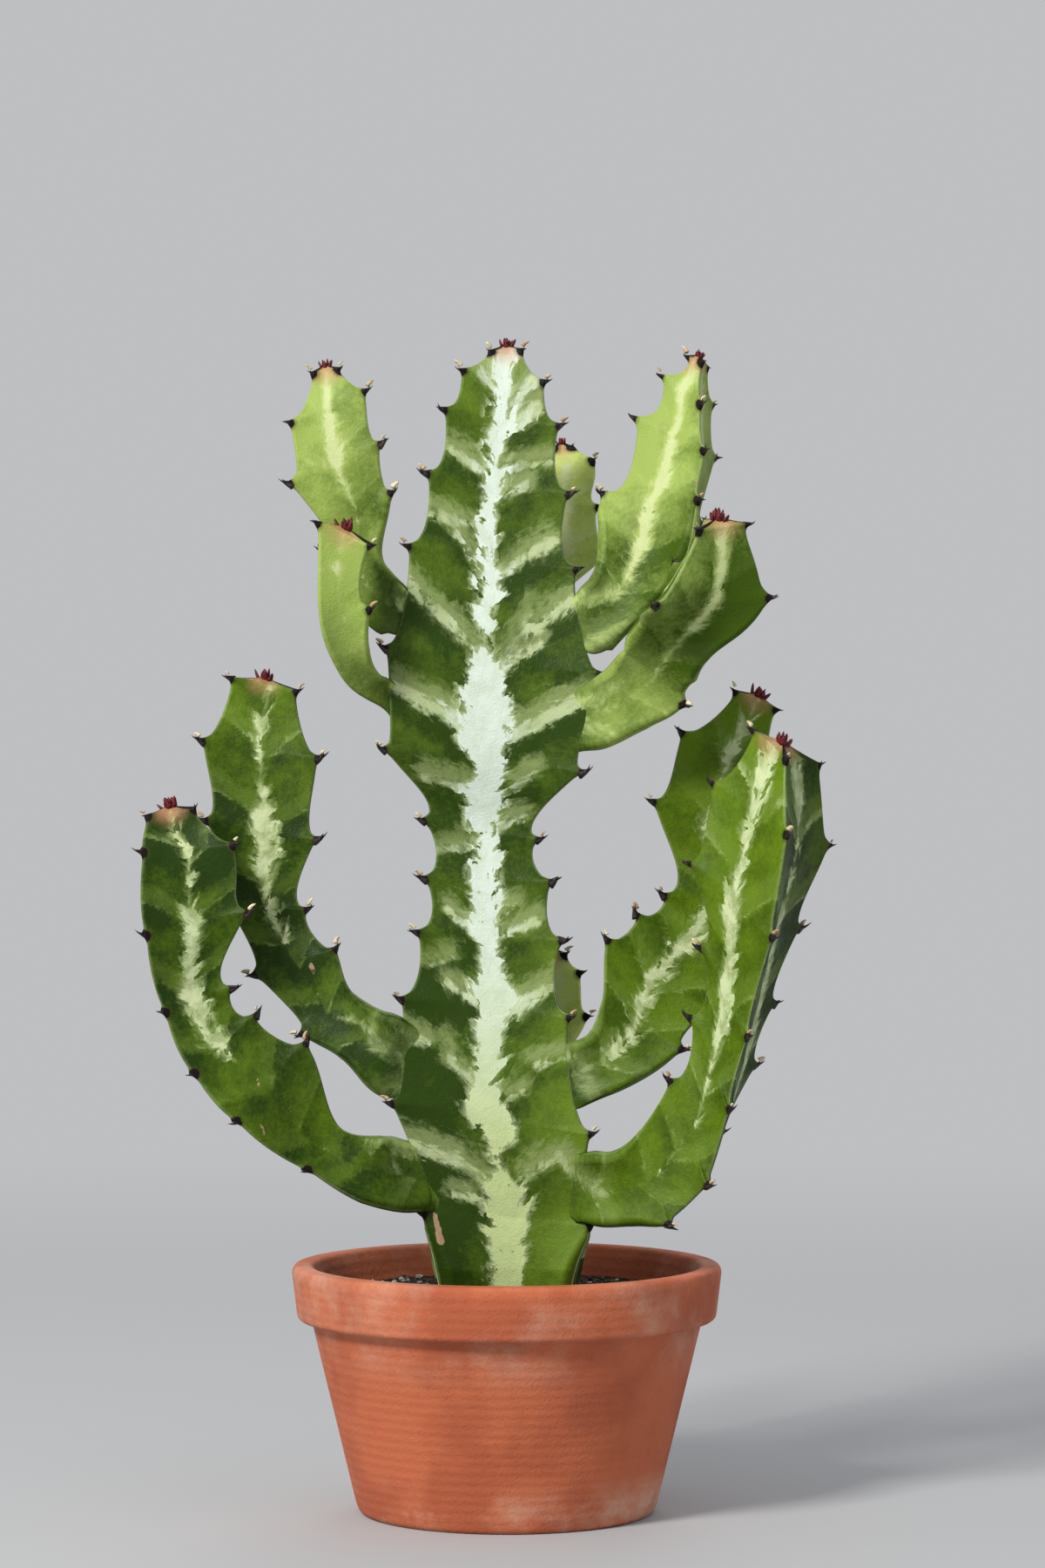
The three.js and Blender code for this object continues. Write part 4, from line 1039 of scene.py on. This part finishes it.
grow_branch(
    "branch_upper_right_front", young_skin, waves=(3, 4.5, 4),
    neck=[
        (17, 275, 16.5, 266, -11, 5), (23, 279, 23, 264, -13, 5), (30, 283.5, 29.5, 263.5, -16, 6),
        (37.5, 289.5, 46, 270.5, -21, 10),
    ],
    rows=[
        (42.5, 297, 60, 276.5, -27, 15, "R"), (45.5, 302, 61.5, 285, -32, 18, ""),
        (48.5, 307, 67, 293, -37, 22, ""), (51.5, 315, 90.5, 312, -46, 25, "LRB", 0, 0.85),
        (66, 338.5, 83.5, 339.5, -50, 20),
    ],
    band=[(0, 0, -4), (3, 0, -1), (6, 2, -1), (6.4, 2, 0.9), (7.3, 2, 2.0), (8, 1, 1.4)],
    streaks=[(0, 0.5), (3, 0.4), (6, 0.2), (8, 0.2)],
    # Its tone dips between rows 5.2 and 8, where its front turns away from the main light: painted shade
    youth_and_shade=[(0, 0.1), (2, 0.4), (3.6, 0.5), (5.2, 0.1), (6.2, -0.3), (7.3, -0.2), (8, 0.3)])
grow_branch(
    "branch_back_upper", shaded_skin, waves=(3.5, 3.5, 3.5),
    neck=[(-3, 301, 3, 301, 24), (-6.5, 304, 6.5, 304, 31), (-8, 310, 10, 310, 41)],
    rows=[
        (-1, 319, 22, 319, 49, 0, "B"), (6, 330, 34.5, 330, 53), (7, 346, 32, 346, 54),
        (10, 361, 29.5, 362, 53), (16, 366, 22, 366.5, 53, 0, "LR"),
    ],
    band=[(0, 0, 1), (7, 0, 1.6)],
    streaks=[(0, 0.3), (7, 0.5)],
    youth_and_shade=[(0, 0.3), (7, 0.9)])
grow_branch(
    "branch_back_lower", shaded_skin, waves=(3, 3, 3),
    neck=[(-3, 146, 3, 146, 19), (-6, 148, 6, 148, 27), (-6, 154, 14, 154, 40)],
    rows=[
        (1, 169, 28, 170.5, 47), (5, 184, 25.5, 185.5, 48), (11, 191, 20, 192, 47, 0, "LR"),
    ],
    band=[(0, 0, 1), (5, 0, 1.6)],
    streaks=[(0, 0.3), (5, 0.5)],
    youth_and_shade=[(0, 0.1), (3, 0.7), (5, 1.1)])
grow_branch(
    "branch_lower_left_inner", green_skin, waves=(4, 3.8, 4),
    neck=[
        (-28, 149, -26, 156, -8), (-35.5, 146, -31, 162, -10), (-42.5, 145, -37, 167, -12.5),
        (-56, 157, -45.5, 171, -13),
    ],
    rows=[
        (-71.5, 164, -54, 178, -10, 0, "LB"), (-88, 184.5, -59, 194, -7), (-99, 211, -68.5, 207.5, -4),
        (-104.5, 238, -65, 231.5, -2), (-105.5, 265.5, -64.5, 259.5, 0), (-95.5, 287, -72, 282.5, 0),
    ],
    band=[
        (0, 2, -4), (5, 0, -4), (5.6, 1, 1.4), (6.6, 2, 2.8), (7.2, 1, 2.6), (7.6, 0, -0.5),
        (8, 0, -0.5), (8.4, 0, 1.2), (9, 2, -0.5),
    ],
    streaks=[(0, 0.6), (3, 0.35), (6, 0.3), (9, 0.5)],
    youth_and_shade=[(0, 0.05), (3, -0.1), (5, -0.2), (7, -0.1), (8, 0.1), (9, 0.5)])
grow_branch(
    "branch_lower_left_outer", green_skin, waves=(-1.4, 4.2, 4),
    neck=[
        (-18.5, 110, -20, 117, -9, 5), (-26, 106, -29, 123, -10.5, 8), (-34, 104.5, -37, 126, -13.5, 10),
        (-50, 108, -43.5, 126.5, -19, 15),
    ],
    rows=[
        (-69.5, 117.5, -56.5, 130, -21, 18, "LB"), (-94, 134.5, -69, 161, -24, 18),
        (-108.5, 151, -86, 171, -26, 15), (-118, 172, -94, 180, -28, 10),
        (-124.5, 198.5, -89, 206, -29, 5), (-125.5, 227, -94, 229.5, -30), (-124, 239.5, -108, 242, -30),
    ],
    band=[
        (0, 2, -4), (5.2, 0, -4), (5.9, 0, 1), (6.5, 0, 2), (7.3, 0, 2.4), (8.1, 0, 2), (8.4, 0, 0.2),
        (9, 0, 0), (10, 0, -1),
    ],
    streaks=[(0, 0.6), (3, 0.2), (6, 0.25), (8, 0.4), (10, 0.4)],
    youth_and_shade=[(0, 0.1), (3, 0.05), (5, 0.15), (7, 0.0), (8, -0.1), (9, -0.4), (10, -0.3)])
grow_branch(
    "branch_lower_right_inner", green_skin, waves=(5, 3, 4),
    neck=[(15.5, 152, 18, 145, -8), (21, 157, 25.5, 142, -11), (28, 161, 36, 145, -12)],
    rows=[
        (33.5, 175, 61, 159, -8, 0, "RB"), (34.5, 197, 70, 172, -3), (44.5, 206, 76, 189, 0),
        (53.5, 212.5, 82, 206.5, 3), (50, 244.5, 86, 230.5, 5), (60, 268.5, 92.5, 256, 6),
        (78.5, 282.5, 93.5, 276, 6),
    ],
    band=[
        (0, 0, -4), (2, -1, -1), (2.6, -2, 2.6), (4, -1, 1.4), (5, 2, 2), (6, 2, 2.4), (7, 0, -1),
        (8, 2, 1.2), (9, 0, 1.2),
    ],
    streaks=[(0, 0.6), (3, 0.5), (6, 0.35), (9, 0.3)],
    youth_and_shade=[(0, -0.05), (2, 0.1), (3, 0.4), (4, 0.4), (6, 0.35), (7, 0.5), (9, 0.9)])
grow_branch(
    "branch_lower_right_outer", green_skin, waves=(3.5, 3, 3.5),
    neck=[
        (15.5, 114, 16, 107, -9), (22.5, 119, 23.5, 103, -12), (29, 121, 30.5, 100, -15),
        (36.5, 121, 43, 100, -20, -5),
    ],
    rows=[
        (46, 130.5, 57.5, 98.5, -24, -15, "RB"), (55, 148, 71, 112.5, -28, -20),
        (61.5, 169.5, 78.5, 139, -31, -35, "LRB", 0, 1.1),
        (65, 193.5, 84.5, 164, -34, -40, "LRB", -4, 1.15),
        (62, 222.5, 92.5, 198, -36, -40, "LRB", -8, 1.2),
        (70.5, 250.5, 97, 233.5, -37, -48, "LRB", -6, 1.27),
        (84.5, 269, 96.5, 259, -37, -48, "LRB", -1, 1.75),
    ],
    band=[
        (0, 0, -4), (5, 0, -2), (5.6, -1, 1), (6.3, 0, 2.6), (7, 0, 3.8), (7.7, -1, 4), (8.15, -1, 3.2),
        (8.4, 0, 1.4), (9, 0, 1.6), (9.2, 0, 3), (9.9, 0, 3.4), (10, 0, 2.4),
    ],
    streaks=[(0, 0.5), (4, 0.4), (8, 0.45), (10, 0.8)],
    youth_and_shade=[(0, 0.2), (4, 0.4), (8, 0.35), (10, 0.7)],
    # The two other faces are darkened here: painted shade on the side turned from the main light
    side_shade=-0.6)


# The horns and spines: each tooth ends in a stout horny cone, almost black, that carries two short
# sharp spines spread to either side of the rib and bent a little upwards. All of it is grown on.
HORN_HEIGHT = 2.25
HORN_DEPTH = 2.0
HORN_ALONG = 1.75
HORN_ACROSS = 1.2
HORN_SIZES = (0.85, 1.12)
# Angles in degrees, each a mean and how far single ones differ from it
HORN_RISE = (16, 8)
SPINE_SPREAD = (40, 7)
SPINE_RISE = (26, 9)
SPINE_LENGTH = 2.5
SPINE_BASE = 0.55
SPINE_LENGTHS = (0.8, 1.15)
SPINE_PLACE = 0.66
SPINE_SIDES = 6
SPINE_RINGS = 5


def bent_cones(feet, axes, ups, lengths, curves, half_across, half_along, power=0.8, rings=SPINE_RINGS):
    """Slim cones from arrays of feet, axes and sizes. The point at share s of a cone's axis is foot +
    axis s length + up curve length s^2, and its oval section shrinks as (1 - s)^power."""
    share = np.linspace(0, 1, rings)
    angles = np.linspace(0, 2 * np.pi, SPINE_SIDES, endpoint=False)
    feet, axes, ups = (np.array(values)[:, None] for values in (feet, axes, ups))
    lengths, curves, half_across, half_along = (
        np.array(values)[:, None, None] for values in (lengths, curves, half_across, half_along))
    s = column(share)
    spine = feet + axes * s * lengths + ups * curves * lengths * s ** 2
    beside = unit(np.cross(axes, ups))
    along = np.cross(beside, axes)
    oval = beside * column(np.cos(angles)) * half_across + along * column(np.sin(angles)) * half_along
    shrink = (1 - share[:-1, None, None]) ** power
    ring = spine[:, :-1, None] + oval[:, None] * shrink
    count = len(ring)
    points = np.concatenate([ring.reshape(count, -1, 3), spine[:, -1:]], 1)
    last = (rings - 2) * SPINE_SIDES
    tip_number = (rings - 1) * SPINE_SIDES
    one = lattice_faces(rings - 1, SPINE_SIDES)[:, ::-1].tolist()
    one += [(last + (k + 1) % SPINE_SIDES, last + k, tip_number) for k in range(SPINE_SIDES)]
    one.append(tuple(range(SPINE_SIDES)))
    faces = [tuple(n + start * points.shape[1] for n in face) for start in range(count) for face in one]
    return points.reshape(-1, 3), faces


def joined(*parts):
    """Points and faces of several parts as one list of each."""
    points, faces, start = [], [], 0
    for part_points, part_faces in parts:
        points.append(part_points)
        faces += [tuple(n + start for n in face) for face in part_faces]
        start += len(part_points)
    return np.concatenate(points), faces


def horns_and_spines(surface, seed):
    """A horn on each tooth, straight out with a little rise, and two spines from near its end."""
    draw = np.random.default_rng(seed)
    horns, spines = [], []
    for row, rib in surface["teeth"]:
        tip, out, side = (values[row] for values in surface["tips"][rib])
        up = surface["growing"][row]
        size = draw.uniform(*HORN_SIZES) * min(1.0, 0.55 + surface["reach"][row] / 40)
        axis = unit(out + up * np.tan(np.radians(draw.normal(*HORN_RISE))))
        foot = tip - axis * HORN_DEPTH - up * 0.5
        length = HORN_DEPTH + HORN_HEIGHT * size
        horns.append((foot, axis, up, length, 0.05, HORN_ACROSS * size, HORN_ALONG * size))
        lift = np.tan(np.radians(draw.normal(*SPINE_RISE)))
        for hand in (-1, 1):
            spread = np.tan(np.radians(draw.normal(*SPINE_SPREAD)))
            way = unit(out + side * hand * spread + up * lift)
            start = foot + axis * length * SPINE_PLACE
            long = SPINE_LENGTH * size * draw.uniform(*SPINE_LENGTHS)
            bend = 0.3 * draw.uniform(0, 1.5)
            spines.append((start, way, up, long, bend, SPINE_BASE * size, SPINE_BASE * size))
    return joined(bent_cones(*zip(*horns), power=0.75), bent_cones(*zip(*spines)))


def grained_material(name, specular, scale, contrast, in_clouds, low, high, first, second, roughs,
                     depth_mm):
    """A material whose colour goes from the first to the second where the grain goes from low to
    high, the broad grain if it lies in clouds, and whose roughness and bumps follow the fine grain."""
    material, tree, shader = new_material(name, Specular_IOR_Level=specular)
    fine, broad = grain_of(tree, scale, contrast)
    tint = mix(step(broad if in_clouds else fine, low, high), rgb(first), rgb(second))
    finish_with(shader, tint, step(fine, 0.2, 0.8, *roughs), fine, depth_mm)
    return material


horn = grained_material(
    "horny_spines", 0.45, 2600.0, 1.6, True, 0.35, 0.75, (22, 15, 15), (58, 42, 38), (0.4, 0.6), 0.05)
for seed, (name, surface) in enumerate(surfaces.items()):
    new_piece(name + "_spines", *horns_and_spines(surface, 100 + seed), horn, surface["slot"])


# The growing tips: a tuft of tiny crimson leaves round each growing point, and the dried remains of
# older leaves, pale curls that still cling above some of the teeth. Both are grown on the stems.
TUFT_LEAVES = 8
TUFT_LENGTH = 3.0
GOLDEN_SHARE = 0.382
LEAF_HALF = (1.1, 0.6)
LEAF_BEND = 0.4
CURL_LENGTH = 2.5
CURL_SHARE = 0.6
CURL_HALF = (1.05, 0.75)


def leaf_tuft(surface, seed):
    """Small flat leaves round a stem's growing point. Each next leaf is turned on by the golden share
    of a full turn, stands further out and leans outwards more than the one before."""
    draw = np.random.default_rng(seed)
    growing, centre = surface["growing"][-1], surface["centre"][-1]
    first = surface["tips"][0][1][-1]
    second = np.cross(growing, first)
    size = min(1.25, max(0.75, surface["reach"][-1] / 6))
    leaves = []
    for n in range(TUFT_LEAVES):
        angle = 2 * np.pi * (n * GOLDEN_SHARE + draw.uniform(-0.04, 0.04))
        around = first * np.cos(angle) + second * np.sin(angle)
        lean = 0.15 + 0.75 * n / TUFT_LEAVES
        axis = unit(growing + around * lean)
        foot = centre + growing * (TIP_RISE - 1.2) + around * (0.2 + 0.27 * n) * size
        length = TUFT_LENGTH * size * draw.uniform(0.7, 1.1)
        halves = [size * half for half in LEAF_HALF]
        leaves.append((foot, axis, growing - around * LEAF_BEND, length, 0.15, *halves))
    return bent_cones(*zip(*leaves), power=0.4, rings=6)


def leaf_curls(surface, seed):
    """Pale dried curls above some teeth: short flat cones that bend over strongly."""
    draw = np.random.default_rng(seed)
    curls = []
    for row, rib in surface["teeth"]:
        kept = draw.uniform() < CURL_SHARE
        turn, size = draw.uniform(-0.8, 0.8), draw.uniform(0.55, 1.1)
        if not kept:
            continue
        tip, out, side = (values[row] for values in surface["tips"][rib])
        up = surface["growing"][row]
        axis = unit(up * 0.8 + out * 0.5 + side * turn)
        foot = tip + up * 1.0 + out * 0.3
        bend = unit(out * 0.9 - side * turn - up * 0.3)
        halves = [size * half for half in CURL_HALF]
        curls.append((foot, axis, bend, CURL_LENGTH * size, 0.6, *halves))
    return bent_cones(*zip(*curls), power=0.35, rings=6)


crimson = grained_material(
    "crimson_leaves", 0.3, 1500.0, 1.5, False, 0.3, 0.75, (50, 9, 14), (124, 29, 39), (0.4, 0.6), 0.06)
dried = grained_material(
    "dried_leaves", 0.2, 1800.0, 1.8, True, 0.3, 0.8, (222, 208, 172), (168, 132, 98), (0.7, 0.9), 0.12)
for seed, (name, surface) in enumerate(surfaces.items()):
    new_piece(name + "_tip_leaves", *leaf_tuft(surface, 300 + seed), crimson, surface["slot"])
    new_piece(name + "_leaf_curls", *leaf_curls(surface, 500 + seed), dried, surface["slot"])


# The studio: a pale floor, a pale room, a broad main light from the upper left in front, a dimmer
# broad light from the right, and the camera at the height of the plant's middle.
FLOOR_HALF = 30.0
FLOOR_NEAR = 0.45
FLOOR_FAR = 1.5
ROOM = rgb((238, 240, 243))
ROOM_LIGHT = 0.6
LENS = 100
SENSOR = 36
floor_mesh = bpy.data.meshes.new("floor")
corners = [(x * FLOOR_HALF, y * FLOOR_HALF, 0) for x, y in ((-1, -1), (1, -1), (1, 1), (-1, 1))]
floor_mesh.from_pydata(corners, [], [(0, 1, 2, 3)])
floor_material, tree, shader = new_material("pale_floor", Roughness=0.9)
shader.inputs["Base Color"].default_value = rgb((172, 174, 177))
place = node(tree, "TexCoord").outputs["Object"]
far = node(tree, "VectorMath", {0: place}, operation="LENGTH").outputs["Value"]
glow = node(tree, "Emission", {"Color": ROOM, "Strength": ROOM_LIGHT})
fade = node(tree, "MixShader", {0: step(far, FLOOR_NEAR, FLOOR_FAR)})
tree.links.new(shader.outputs[0], fade.inputs[1])
tree.links.new(glow.outputs[0], fade.inputs[2])
tree.links.new(fade.outputs[0], tree.nodes["Material Output"].inputs["Surface"])
floor_mesh.materials.append(floor_material)
floor = bpy.data.objects.new("floor", floor_mesh)
bpy.context.scene.collection.objects.link(floor)


def softbox(name, place, target, size, power, color=(1, 1, 1)):
    """A square area light in metres that faces its target."""
    light = bpy.data.lights.new(name, "AREA")
    light.size = size
    light.energy = power
    light.color = color
    made = bpy.data.objects.new(name, light)
    made.location = place
    toward = Vector(target) - Vector(place)
    made.rotation_euler = toward.to_track_quat("-Z", "Y").to_euler()
    bpy.context.scene.collection.objects.link(made)


softbox("main_light", (-1.15, -1.45, 1.5), (0, 0, 0.22), 0.5, 56, (1.0, 0.97, 0.91))
softbox("side_light", (1.7, -1.4, 0.8), (0, 0, 0.22), 1.4, 3, (0.94, 0.97, 1.0))
softbox("back_light", (0.3, 1.8, 1.4), (0, 0, 0.22), 1.2, 8)
world = bpy.data.worlds.new("studio")
world.use_nodes = True
world.node_tree.nodes["Background"].inputs["Color"].default_value = ROOM
world.node_tree.nodes["Background"].inputs["Strength"].default_value = ROOM_LIGHT
bpy.context.scene.world = world
bpy.context.scene.view_settings.view_transform = "Standard"

camera_data = bpy.data.cameras.new("camera")
camera_data.lens = LENS
camera_data.sensor_width = SENSOR
camera = bpy.data.objects.new("camera", camera_data)
camera.location = EYE * 0.001
camera.rotation_euler = (np.pi / 2, 0, 0)
bpy.context.scene.collection.objects.link(camera)
bpy.context.scene.camera = camera
